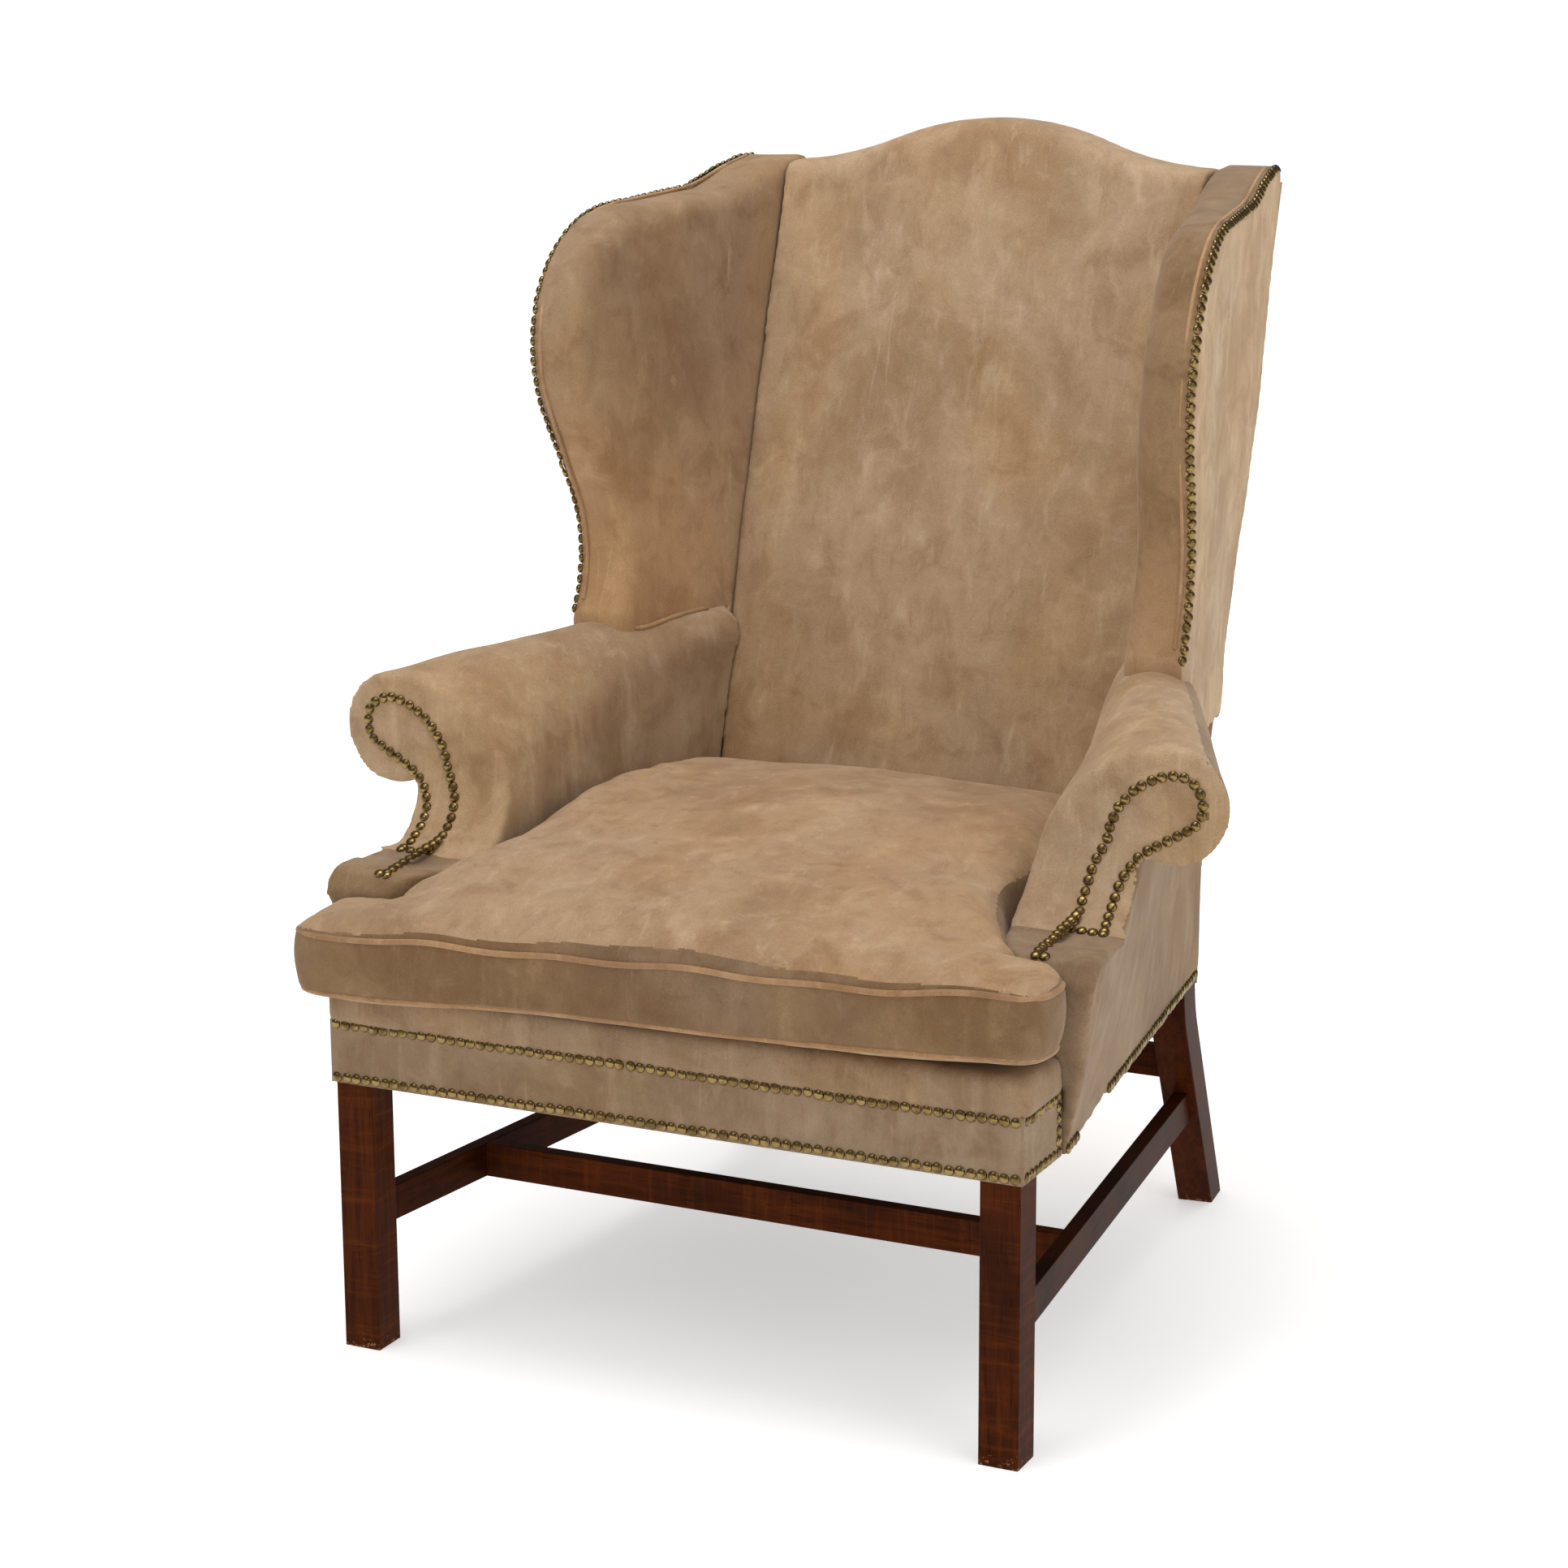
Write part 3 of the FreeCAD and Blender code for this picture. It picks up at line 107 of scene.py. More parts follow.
class StageSettings(bpy.types.PropertyGroup):
    """Camera and light."""

    lens: bpy.props.FloatProperty(
        name="Lens", description="Focal length in millimetres on a 36 mm wide sensor",
        default=83.76, min=20, max=200)
    azimuth: bpy.props.FloatProperty(
        name="Azimuth", description="How far the camera stands to the right of the chair's front",
        default=math.radians(25.95), subtype="ANGLE")
    elevation: bpy.props.FloatProperty(
        name="Elevation", description="How far the camera looks down", default=math.radians(13.33),
        subtype="ANGLE")
    roll: bpy.props.FloatProperty(
        name="Roll", description="How far the camera is turned about its line of sight",
        default=math.radians(0.32), subtype="ANGLE")
    key: bpy.props.FloatProperty(
        name="Key light", description="Power of the light from the front left", default=26.0, min=0)
    fill: bpy.props.FloatProperty(
        name="Fill light", description="Power of the light from the right", default=24.0, min=0)
    top: bpy.props.FloatProperty(
        name="Top light", description="Power of the light overhead", default=60.0, min=0)
    ambient: bpy.props.FloatProperty(
        name="Ambient", description="Strength of the light from all round", default=0.55, min=0)


# Shader maths

class Value:
    """A shader socket that can be used in sums."""

    def __init__(self, shader, socket):
        self.shader = shader
        self.socket = socket

    def _math(self, operation, *terms):
        return self.shader.node("ShaderNodeMath", terms, operation=operation)

    def __add__(self, other):
        return self._math("ADD", self, other)

    def __radd__(self, other):
        return self._math("ADD", other, self)

    def __sub__(self, other):
        return self._math("SUBTRACT", self, other)

    def __rsub__(self, other):
        return self._math("SUBTRACT", other, self)

    def __mul__(self, other):
        return self._math("MULTIPLY", self, other)

    def __rmul__(self, other):
        return self._math("MULTIPLY", other, self)

    def step(self, low, high):
        """0 below low, 1 above high, and smooth between them."""
        return self.shader.node("ShaderNodeMapRange", (self, low, high, 0.0, 1.0),
                                interpolation_type="SMOOTHSTEP")


class Shader:
    """One material's node tree."""

    def __init__(self, name):
        self.material = bpy.data.materials.new(name)
        self.material.use_nodes = True
        self.tree = self.material.node_tree
        self.surface = self.tree.nodes["Principled BSDF"]

    def node(self, kind, inputs=(), output=0, **settings):
        """A new node with its inputs filled in, by place or by name; returns one of its outputs."""
        made = self.tree.nodes.new(kind)
        for name, value in settings.items():
            setattr(made, name, value)
        named = inputs.items() if isinstance(inputs, dict) else enumerate(inputs)
        for key, value in named:
            self.put(made.inputs[key], value)
        return Value(self, made.outputs[output])

    def put(self, socket, value):
        if isinstance(value, Value):
            self.tree.links.new(value.socket, socket)
        else:
            socket.default_value = value

    def place(self):
        """Coordinates that stay with the piece."""
        return self.node("ShaderNodeTexCoord", output="Object")

    def stretched(self, scale, turn=(0.0, 0.0, 0.0), shift=(0.0, 0.0, 0.0)):
        return self.node("ShaderNodeMapping", {"Vector": self.place(), "Location": shift, "Rotation": turn,
                                               "Scale": scale})

    def noise(self, where, scale, detail=2.0, roughness=0.5, distortion=0.0):
        return self.node("ShaderNodeTexNoise", {"Vector": where, "Scale": scale, "Detail": detail,
                                                "Roughness": roughness, "Distortion": distortion})

    def mix(self, share, first, second, blend="MIX"):
        """Two colours mixed by a share."""
        made = self.tree.nodes.new("ShaderNodeMix")
        made.data_type = "RGBA"
        made.blend_type = blend
        colours = [socket for socket in made.inputs if socket.type == "RGBA"]
        self.put(made.inputs["Factor"], share)
        for socket, colour in zip(colours, (first, second)):
            self.put(socket, colour)
        return Value(self, [socket for socket in made.outputs if socket.type == "RGBA"][0])

    def bump(self, height, strength, distance):
        return self.node("ShaderNodeBump", {"Strength": strength, "Distance": distance, "Height": height})

    def finish(self, **sockets):
        """Fills in the surface's sockets; an underscore in a name stands for a space."""
        for name, value in sockets.items():
            self.put(self.surface.inputs[name.replace("_", " ")], value)
        return self.material


def colour(red, green, blue, strength=1.0):
    """A colour from the 0 to 255 values that a picture shows."""
    linear = [((v / 255 + 0.055) / 1.055) ** 2.4 if v > 10 else v / 255 / 12.92 for v in (red, green, blue)]
    return tuple(strength * value for value in linear) + (1.0,)


# Materials

def suede(name, base, dark, light, drift, nap, worn, brushed, painted_light_by_height):
    """Napped suede: cloudy patches, brushed streaks along its nap, rubbed pale marks and a fine fuzzy grain.

    Its last argument gives a height, a lower height and how much lighter the cloth is painted at the lower one:
    painted light and shade that change with height.
    """
    shader = Shader(name)
    moved = shader.stretched((1, 1, 1), shift=drift)
    clouds = shader.noise(moved, 6.0, 3.0, 0.55, 0.5)
    patches = shader.noise(moved, 21.0, 5.0, 0.62, 0.7)
    mottle = shader.noise(moved, 75.0, 4.0, 0.65, 0.3)
    brush = shader.noise(shader.stretched((5.0, 5.0, 0.9), turn=nap, shift=drift), 7.0, 6.0, 0.68, 0.35)
    crossed = shader.stretched((26.0, 7.0, 3.0), turn=(nap[1], nap[0], 0.5), shift=drift)
    marks = shader.noise(crossed, 3.0, 6.0, 0.72, 0.8)
    grain = shader.noise(moved, 800.0, 2.0, 0.6)
    hue = shader.noise(shader.stretched((1, 1, 0.7), turn=nap, shift=drift), 4.5, 3.0, 0.5, 0.6)
    tone = shader.mix(clouds.step(0.42, 0.66) * 0.6, base, dark)
    tone = shader.mix(patches.step(0.48, 0.7) * 0.6, tone, dark)
    tone = shader.mix(patches.step(0.48, 0.28) * 0.34, tone, light)
    tone = shader.mix(brush.step(0.52, 0.72) * brushed * 0.85, tone, light)
    tone = shader.mix(brush.step(0.48, 0.28) * brushed, tone, dark)
    tone = shader.mix(marks.step(0.58, 0.72) * worn, tone, light)
    tone = shader.mix(hue.step(0.4, 0.66), tone, WARMTH, blend="MULTIPLY")
    speck = 0.54 + mottle * 0.3 + grain * 0.62
    # Painted light and shade: below the first height the cloth is painted lighter, most at the second, lower
    # height.
    if painted_light_by_height:
        up = shader.node("ShaderNodeSeparateXYZ", (shader.place(),), output="Z")
        speck = speck * (1.0 + up.step(painted_light_by_height[0], painted_light_by_height[1]) * painted_light_by_height[2])
    grey = shader.node("ShaderNodeCombineColor", (speck, speck, speck))
    tone = shader.mix(1.0, tone, grey, blend="MULTIPLY")
    height = grain * 0.5 + mottle * 0.6 + patches * 0.6
    return shader.finish(Base_Color=tone, Roughness=0.95, Specular_IOR_Level=0.12, Sheen_Weight=0.2,
                         Sheen_Roughness=0.5, Sheen_Tint=(1.0, 0.88, 0.74, 1.0),
                         Normal=shader.bump(height, 0.4, 0.0012))


def mahogany(name, along, figure, shade):
    """Old polished mahogany, its grain along one axis, with cross figure and pale wear low down."""
    shader = Shader(name)
    long_axis = "XYZ".index(along)
    scale = [26.0, 26.0, 26.0]
    scale[long_axis] = 1.6
    fibres = shader.noise(shader.stretched(tuple(scale)), 6.0, 6.0, 0.62, 0.4)
    pores = shader.noise(shader.stretched(tuple(9.0 * s for s in scale)), 3.0, 2.0, 0.5)
    scale = [3.0, 3.0, 3.0]
    scale[long_axis] = 34.0
    bands = shader.noise(shader.stretched(tuple(scale)), 3.2, 4.0, 0.6, 1.1)
    clouds = shader.noise(shader.place(), 9.0, 3.0, 0.5, 0.4)
    tone = shader.mix(fibres.step(0.3, 0.72) * 0.7, colour(56, 23, 6, shade), colour(92, 41, 10, shade))
    tone = shader.mix(bands.step(0.46, 0.74) * figure, tone, colour(128, 62, 13, shade))
    tone = shader.mix(clouds.step(0.56, 0.3) * 0.7, tone, colour(38, 16, 6, shade))
    tone = shader.mix(pores.step(0.6, 0.72) * 0.6, tone, colour(18, 9, 5, shade))
    low = shader.node("ShaderNodeSeparateXYZ", (shader.place(),), output="Z")
    scuffs = shader.noise(shader.place(), 260.0, 4.0, 0.7)
    worn = (scuffs - (low * 9.0)).step(0.5, 0.62)
    tone = shader.mix(worn * 0.7, tone, colour(166, 118, 84))
    rough = 0.34 + fibres * 0.2 + worn * 0.3
    height = fibres * 0.6 - pores * 0.5
    return shader.finish(Base_Color=tone, Roughness=rough, Specular_IOR_Level=0.035,
                         Normal=shader.bump(height, 0.12, 0.0008))


def bare_wood(name):
    """Sawn beech that the covers hide."""
    shader = Shader(name)
    grain = shader.noise(shader.stretched((30, 4, 4)), 12.0, 5.0, 0.6)
    tone = shader.mix(grain.step(0.35, 0.65), colour(176, 138, 96), colour(140, 102, 64))
    return shader.finish(Base_Color=tone, Roughness=0.7, Normal=shader.bump(grain, 0.3, 0.001))


def woven(name, first, second, pitch):
    """A plain weave of two yarn tones."""
    shader = Shader(name)
    across = shader.node("ShaderNodeTexWave", {"Vector": shader.place(), "Scale": pitch}, output="Fac",
                         bands_direction="X")
    along = shader.node("ShaderNodeTexWave", {"Vector": shader.place(), "Scale": pitch}, output="Fac",
                        bands_direction="Y")
    upright = shader.node("ShaderNodeTexWave", {"Vector": shader.place(), "Scale": pitch}, output="Fac",
                          bands_direction="Z")
    weave = across * along * 0.6 + upright * 0.4
    tone = shader.mix(weave, first, second)
    return shader.finish(Base_Color=tone, Roughness=0.95, Normal=shader.bump(weave, 0.5, 0.001))


def metal(name, bright, dull, roughness, spots=420.0):
    """Metal with darker, rougher patches at random."""
    shader = Shader(name)
    stain = shader.noise(shader.place(), spots, 3.0, 0.6)
    broad = shader.noise(shader.place(), 60.0, 2.0, 0.5)
    share = (stain * 0.6 + broad * 0.4).step(0.42, 0.6)
    tone = shader.mix(share, bright, dull)
    return shader.finish(Base_Color=tone, Roughness=roughness + share * 0.2, Metallic=1.0,
                         Normal=shader.bump(stain, 0.15, 0.0003))


WARMTH = (1.035, 0.985, 0.88, 1.0)
TAN = colour(176, 147, 116)
DEEP = colour(146, 114, 82)
PALE = colour(204, 178, 148)


def tinted(name, factor, drift, nap=(0.4, 0.3, 0.2), worn=0.35, brushed=0.5, warm=1.0, painted_light_by_height=None):
    """The chair's suede for one piece: a little lighter or darker, warmer or greyer, with its own pattern."""
    def change(tone):
        return (tone[0] * factor * warm, tone[1] * factor, tone[2] * factor / warm, 1.0)

    return suede(name, change(TAN), change(DEEP), change(PALE), drift, nap, worn, brushed, painted_light_by_height)


# Meshes

def eased(value, start, end):
    """0 at start, 1 at end, and smooth between them."""
    share = np.clip((value - start) / (end - start), 0.0, 1.0)
    return share * share * (3 - 2 * share)


def coordinates(mesh):
    values = np.empty(len(mesh.vertices) * 3)
    mesh.vertices.foreach_get("co", values)
    return values.reshape(-1, 3)


def set_coordinates(mesh, places):
    mesh.vertices.foreach_set("co", np.ascontiguousarray(places, dtype=np.float32).ravel())
    mesh.update()


def normals(mesh):
    values = np.empty(len(mesh.vertices) * 3)
    mesh.vertices.foreach_get("normal", values)
    return values.reshape(-1, 3)


def surface_tree(mesh):
    """A mesh's faces, ready for rays."""
    return BVHTree.FromPolygons([vertex.co.copy() for vertex in mesh.vertices],
                                [tuple(face.vertices) for face in mesh.polygons])


def piece_of(name, mesh):
    """A new object in the scene, smooth shaded."""
    piece = bpy.data.objects.new(name, mesh)
    bpy.context.scene.collection.objects.link(piece)
    mesh.shade_smooth()
    return piece


def settled(piece):
    """Applies every modifier of a piece."""
    graph = bpy.context.evaluated_depsgraph_get()
    mesh = bpy.data.meshes.new_from_object(piece.evaluated_get(graph))
    old = piece.data
    piece.modifiers.clear()
    piece.data = mesh
    bpy.data.meshes.remove(old)
    mesh.shade_smooth()


def edge_ends(mesh):
    """The two vertices of every edge, as two rows of numbers."""
    ends = np.empty(len(mesh.edges) * 2, dtype=np.int64)
    mesh.edges.foreach_get("vertices", ends)
    return ends.reshape(-1, 2).T


def islands(first, second, count):
    """Connected sets of points that edges join, as one label for each point."""
    label = np.arange(count)
    while True:
        before = label.copy()
        lowest = np.minimum(label[first], label[second])
        np.minimum.at(label, first, lowest)
        np.minimum.at(label, second, lowest)
        label = label[label]
        if (label == before).all():
            return label


def joined(name, nodes, voxel, thickened=(), inward=0.0):
    """One closed skin round several CAD nodes: their meshes together, remeshed, with only its outer shell.

    Thin sheets among them that are thickened get copies that lie further in along X.
    """
    joint = bmesh.new()
    for node in nodes:
        joint.from_mesh(NODES[node].data)
    for node in thickened:
        for step in (1, 2, 3):
            known = len(joint.verts)
            joint.from_mesh(NODES[node].data)
            joint.verts.ensure_lookup_table()
            bmesh.ops.translate(joint, vec=(step * inward, 0, 0), verts=joint.verts[known:])
    mesh = bpy.data.meshes.new(name)
    joint.to_mesh(mesh)
    joint.free()
    piece = piece_of(name, mesh)
    remesh = piece.modifiers.new("skin", "REMESH")
    remesh.mode = "VOXEL"
    remesh.voxel_size = voxel
    settled(piece)
    label = islands(*edge_ends(piece.data), len(piece.data.vertices))
    names, counts = np.unique(label, return_counts=True)
    if len(names) > 1:
        main = names[counts.argmax()]
        shell = bmesh.new()
        shell.from_mesh(piece.data)
        shell.verts.ensure_lookup_table()
        bmesh.ops.delete(shell, geom=[shell.verts[k] for k in np.flatnonzero(label != main)], context="VERTS")
        shell.to_mesh(piece.data)
        shell.free()
    return piece


def relaxed(mesh, rounds):
    """Smooths a mesh without shrinking it."""
    first, second = edge_ends(mesh)
    places = coordinates(mesh)
    count = (np.bincount(first, minlength=len(places)) + np.bincount(second, minlength=len(places)))[:, None]
    for number in range(2 * rounds):
        total = np.column_stack([np.bincount(first, places[second, k], len(places))
                                 + np.bincount(second, places[first, k], len(places)) for k in range(3)])
        places += (0.5 if number % 2 == 0 else -0.52) * (total / count - places)
    set_coordinates(mesh, places)


def waves(places, scale, seed, count=10):
    """Smooth seeded unevenness between about -1 and 1, without any direction of its own."""
    draw = np.random.default_rng(seed)
    total = np.zeros(len(places))
    for _ in range(count):
        direction = draw.normal(size=3)
        direction *= scale * draw.uniform(0.6, 1.5) / np.linalg.norm(direction)
        total += np.sin(places @ direction + draw.uniform(0, 2 * math.pi))
    return total / math.sqrt(count)


def uneven(mesh, amount, seed, scale):
    """Moves a surface in and out by a few millimetres, as hand-laid stuffing does."""
    places = coordinates(mesh)
    lift = amount * (0.7 * waves(places, scale, seed) + 0.3 * waves(places, 2.7 * scale, seed + 1))
    set_coordinates(mesh, places + normals(mesh) * lift[:, None])


def refined(name, node, longest):
    """A copy of a CAD node's mesh with no edge longer than wanted."""
    mesh = bpy.data.meshes.new(name)
    fine = bmesh.new()
    fine.from_mesh(NODES[node].data)
    bmesh.ops.remove_doubles(fine, verts=fine.verts, dist=1e-6)
    bmesh.ops.triangulate(fine, faces=fine.faces)
    for _ in range(7):
        long_edges = [edge for edge in fine.edges if edge.calc_length() > longest]
        if not long_edges:
            break
        bmesh.ops.subdivide_edges(fine, edges=long_edges, cuts=1)
        bmesh.ops.triangulate(fine, faces=fine.faces)
    fine.to_mesh(mesh)
    fine.free()
    return piece_of(name, mesh)


def tube(name, path, radius, sides=10, closed=False):
    """A welt along a smooth path, given as points close together."""
    path = np.asarray(path, dtype=float)
    ahead = np.roll(path, -1, axis=0) - np.roll(path, 1, axis=0)
    if not closed:
        ahead[0] = path[1] - path[0]
        ahead[-1] = path[-1] - path[-2]
    ahead /= np.linalg.norm(ahead, axis=1)[:, None]
    side = np.cross(ahead, [0.0, 0.0, 1.0])
    flat = np.linalg.norm(side, axis=1) < 0.2
    side[flat] = np.cross(ahead[flat], [1.0, 0.0, 0.0])
    for number in range(1, len(side)):
        carried = side[number - 1] - ahead[number] * (side[number - 1] @ ahead[number])
        side[number] = carried / np.linalg.norm(carried)
    side[0] /= np.linalg.norm(side[0])
    up = np.cross(side, ahead)
    turns = np.linspace(0, 2 * math.pi, sides, endpoint=False)
    rings = (path[:, None, :] + radius * (np.cos(turns)[None, :, None] * side[:, None, :]
                                          + np.sin(turns)[None, :, None] * up[:, None, :]))
    faces = []
    count = len(path)
    for number in range(count if closed else count - 1):
        here, there = number * sides, ((number + 1) % count) * sides
        for turn in range(sides):
            follow = (turn + 1) % sides
            faces.append((here + turn, here + follow, there + follow, there + turn))
    if not closed:
        faces.append(tuple(range(sides))[::-1])
        faces.append(tuple((count - 1) * sides + turn for turn in range(sides)))
    mesh = bpy.data.meshes.new(name)
    mesh.from_pydata(rings.reshape(-1, 3).tolist(), [], faces)
    mesh.validate()
    return piece_of(name, mesh)


def even_run(points, step, closed=False):
    """A smooth run through a few points, as points at an even step."""
    points = np.asarray(points, dtype=float)
    count = len(points)
    dense = []
    spans = count if closed else count - 1
    for number in range(spans):
        if closed:
            before, here, there, after = (points[(number + k) % count] for k in (-1, 0, 1, 2))
        else:
            before, here = points[max(0, number - 1)], points[number]
            there, after = points[number + 1], points[min(count - 1, number + 2)]
        for share in np.linspace(0, 1, 12, endpoint=False):
            dense.append(0.5 * (2 * here + (there - before) * share
                                + (2 * before - 5 * here + 4 * there - after) * share ** 2
                                + (3 * here - before - 3 * there + after) * share ** 3))
    dense.append(points[0] if closed else points[-1])
    dense = np.array(dense)
    lengths = np.concatenate(([0.0], np.cumsum(np.linalg.norm(np.diff(dense, axis=0), axis=1))))
    total = max(2, round(lengths[-1] / step))
    wanted = np.linspace(0, lengths[-1], total + 1)
    run = np.column_stack([np.interp(wanted, lengths, dense[:, k]) for k in range(3)])
    return run[:-1] if closed else run


def dress(piece, material, body, replaces=()):
    """Gives a piece its material, its body and the CAD nodes that it stands for."""
    piece.data.materials.clear()
    piece.data.materials.append(material)
    if replaces:
        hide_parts(*replaces)
    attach(piece, body)


def second_cloth(piece, material, chosen):
    """Gives part of a piece another material; chosen tells it from the faces' directions and middles."""
    mesh = piece.data
    mesh.materials.append(material)
    facing = np.array([face.normal for face in mesh.polygons])
    middle = np.array([face.center for face in mesh.polygons])
    mesh.polygons.foreach_set("material_index", chosen(facing, middle).astype(np.int32))


def paint(node, material):
    """Gives a carried-over CAD node its material."""
    mesh = NODES[node].data
    mesh.materials.clear()
    mesh.materials.append(material)


# Nails

def nail_places(node):
    """Where each nail of a CAD node sits and which way its head faces."""
    mesh = NODES[node].data
    places = coordinates(mesh)
    keys, index = np.unique(np.round(places, 6), axis=0, return_inverse=True)
    first, second = index.ravel()[edge_ends(mesh)]
    label = islands(first, second, len(keys))
    found = []
    for name in np.unique(label):
        cloud = keys[label == name]
        centre = cloud.mean(axis=0)
        tip = cloud[np.linalg.norm(cloud - centre, axis=1).argmax()]
        tip = cloud[np.linalg.norm(cloud - tip, axis=1) < 0.0022].mean(axis=0)
        far = np.linalg.norm(cloud - tip, axis=1)
        head = cloud[far > far.max() - 0.002]
        out = head.mean(axis=0) - tip
        out /= np.linalg.norm(out)
        reach = ((cloud - tip) @ out).max()
        found.append((tip + out * reach, out))
    return found


def nail_head(radius, rise, rings=6, sides=20):
    """A domed head with a slight flange, apex at the origin, as points and faces."""
    points, faces = [(0.0, 0.0, 0.0)], []
    for ring in range(1, rings + 1):
        turn = ring / rings
        reach = radius * math.sin(turn * math.pi / 2) ** 0.9
        depth = -rise * (1 - math.cos(turn * math.pi / 2))
        for side in range(sides):
            angle = 2 * math.pi * side / sides
            points.append((reach * math.cos(angle), reach * math.sin(angle), depth))
    rim = len(points)
    for side in range(sides):
        angle = 2 * math.pi * side / sides
        points.append((0.97 * radius * math.cos(angle), 0.97 * radius * math.sin(angle), -rise - 0.0009))
    for side in range(sides):
        follow = (side + 1) % sides
        faces.append((0, 1 + side, 1 + follow))
        for ring in range(rings - 1):
            here, there = 1 + ring * sides, 1 + (ring + 1) * sides
            faces.append((here + side, there + side, there + follow, here + follow))
        last = 1 + (rings - 1) * sides
        faces.append((last + side, rim + side, rim + follow, last + follow))
    return np.array(points), faces


def nail_heads(name, node, settings):
    """All heads of one CAD node as one piece, each a little tilted and off its line."""
    draw = random.Random(settings.seed)
    shape, shape_faces = nail_head(0.0050, 0.0029)
    points, faces = [], []
    for apex, out in nail_places(node):
        out = Vector(out) + Vector([draw.gauss(0, 0.05) for _ in range(3)])
        turn = out.to_track_quat("Z", "X").to_matrix()
        size = draw.uniform(0.96, 1.03)
        shift = Vector([draw.gauss(0, 0.00025) for _ in range(3)])
        placed = (shape * size) @ np.array(turn).T + np.array(Vector(apex) + shift)
        faces += [tuple(len(points) + corner for corner in face) for face in shape_faces]
        points += placed.tolist()
    mesh = bpy.data.meshes.new(name)
    mesh.from_pydata(points, [], faces)
    return piece_of(name, mesh)


def seated(mesh, nodes, radius=0.0105, most=0.005, rise=0.0036):
    """Lays a surface against the undersides of the nail heads that hold it."""
    nails = [nail for node in nodes for nail in nail_places(node)]
    tree = kdtree.KDTree(len(nails))
    for number, (apex, _) in enumerate(nails):
        tree.insert(Vector(apex), number)
    tree.balance()
    places, facing = coordinates(mesh), normals(mesh)
    for index, place in enumerate(places):
        _, number, distance = tree.find(Vector(place))
        if distance < radius:
            apex, out = nails[number]
            off = (place - apex) @ out + rise
            if abs(off) < most and facing[index] @ out > 0.3:
                places[index] = place - out * off * eased(distance, radius, 0.45 * radius)
    set_coordinates(mesh, places)


# Operators, one for each piece or group of like pieces

# Depths behind the front legs' face at which the wings' feet are welted to the arms
WING_FOOT = tuple(0.405 + 0.012 * step for step in range(15))


class CHAIR_OT_woodwork(bpy.types.Operator):
    """Polishes the legs and stretchers and gives the hidden timbers their bare wood."""

    bl_idname = "chair.woodwork"
    bl_label = "Woodwork"

    def execute(self, context):
        timbers = []
        for side, _ in SIDES:
            timbers += [("front_leg_" + side, "Z", 0.3, 0.85), ("rear_leg_" + side, "Z", 0.1, 0.85),
                        ("side_stretcher_" + side, "Y", 0.1, 0.7)]
        timbers += [("cross_stretcher", "X", 0.25, 1.05), ("rear_stretcher", "X", 0.2, 0.8)]
        for node, along, figure, shade in timbers:
            paint(node, mahogany(node + "_wood", along, figure, shade))
        beech = bare_wood("beech")
        for node in NODES:
            if any(word in node for word in ("rail", "post", "block")) and "nails" not in node:
                paint(node, beech)
        return {"FINISHED"}


class CHAIR_OT_linings(bpy.types.Operator):
    """Gives webbing, springs, linings and the zip their materials."""

    bl_idname = "chair.linings"
    bl_label = "Linings"

    def execute(self, context):
        jute = woven("jute", colour(140, 116, 82), colour(92, 72, 46), 120.0)
        cloth = woven("black_lining", colour(58, 52, 46), colour(34, 30, 27), 260.0)
        stuffing = woven("stuffing", colour(206, 192, 164), colour(176, 158, 126), 60.0)
        for node in ("back_webbing", "seat_webbing", "spring_cover"):
            paint(node, jute)
        paint("dust_cover", cloth)
        for node in NODES:
            if node.endswith("_pad") or "_pad_" in node or node == "cushion_core":
                paint(node, stuffing)
        paint("seat_springs", metal("spring_steel", colour(150, 146, 140), colour(96, 90, 84), 0.4))
        paint("cushion_zip", woven("zip_tape", colour(96, 74, 52), colour(66, 50, 34), 400.0))
        paint("zip_slider", metal("zip_brass", colour(176, 140, 82), colour(110, 82, 42), 0.35))
        return {"FINISHED"}


class CHAIR_OT_back(bpy.types.Operator):
    """Upholsters the inside and the outside of the back."""

    bl_idname = "chair.back"
    bl_label = "Back"

    def execute(self, context):
        settings = context.scene.chair
        nodes = ["inside_back", "back_pad", "back_webbing", "crest_rail", "lower_back_rail"]
        nodes += ["back_post_left", "back_post_right", "outside_back"]
        back = joined("back_upholstery", nodes, settings.voxel)
        relaxed(back.data, 12)
        uneven(back.data, settings.unevenness, settings.seed + 10, 16.0)
        material = tinted("back_suede", 0.88, (0.3, 0.1, 0.2), nap=(0.5, 0.2, 0.6), warm=0.98)
        dress(back, material, "chair", ("inside_back", "back_pad"))
        panel = refined("outside_back_cover", "outside_back", 0.02)
        dress(panel, tinted("outside_back_suede", 1.0, (1.3, 0.5, 0.2)), "chair", ("outside_back",))
        return {"FINISHED"}


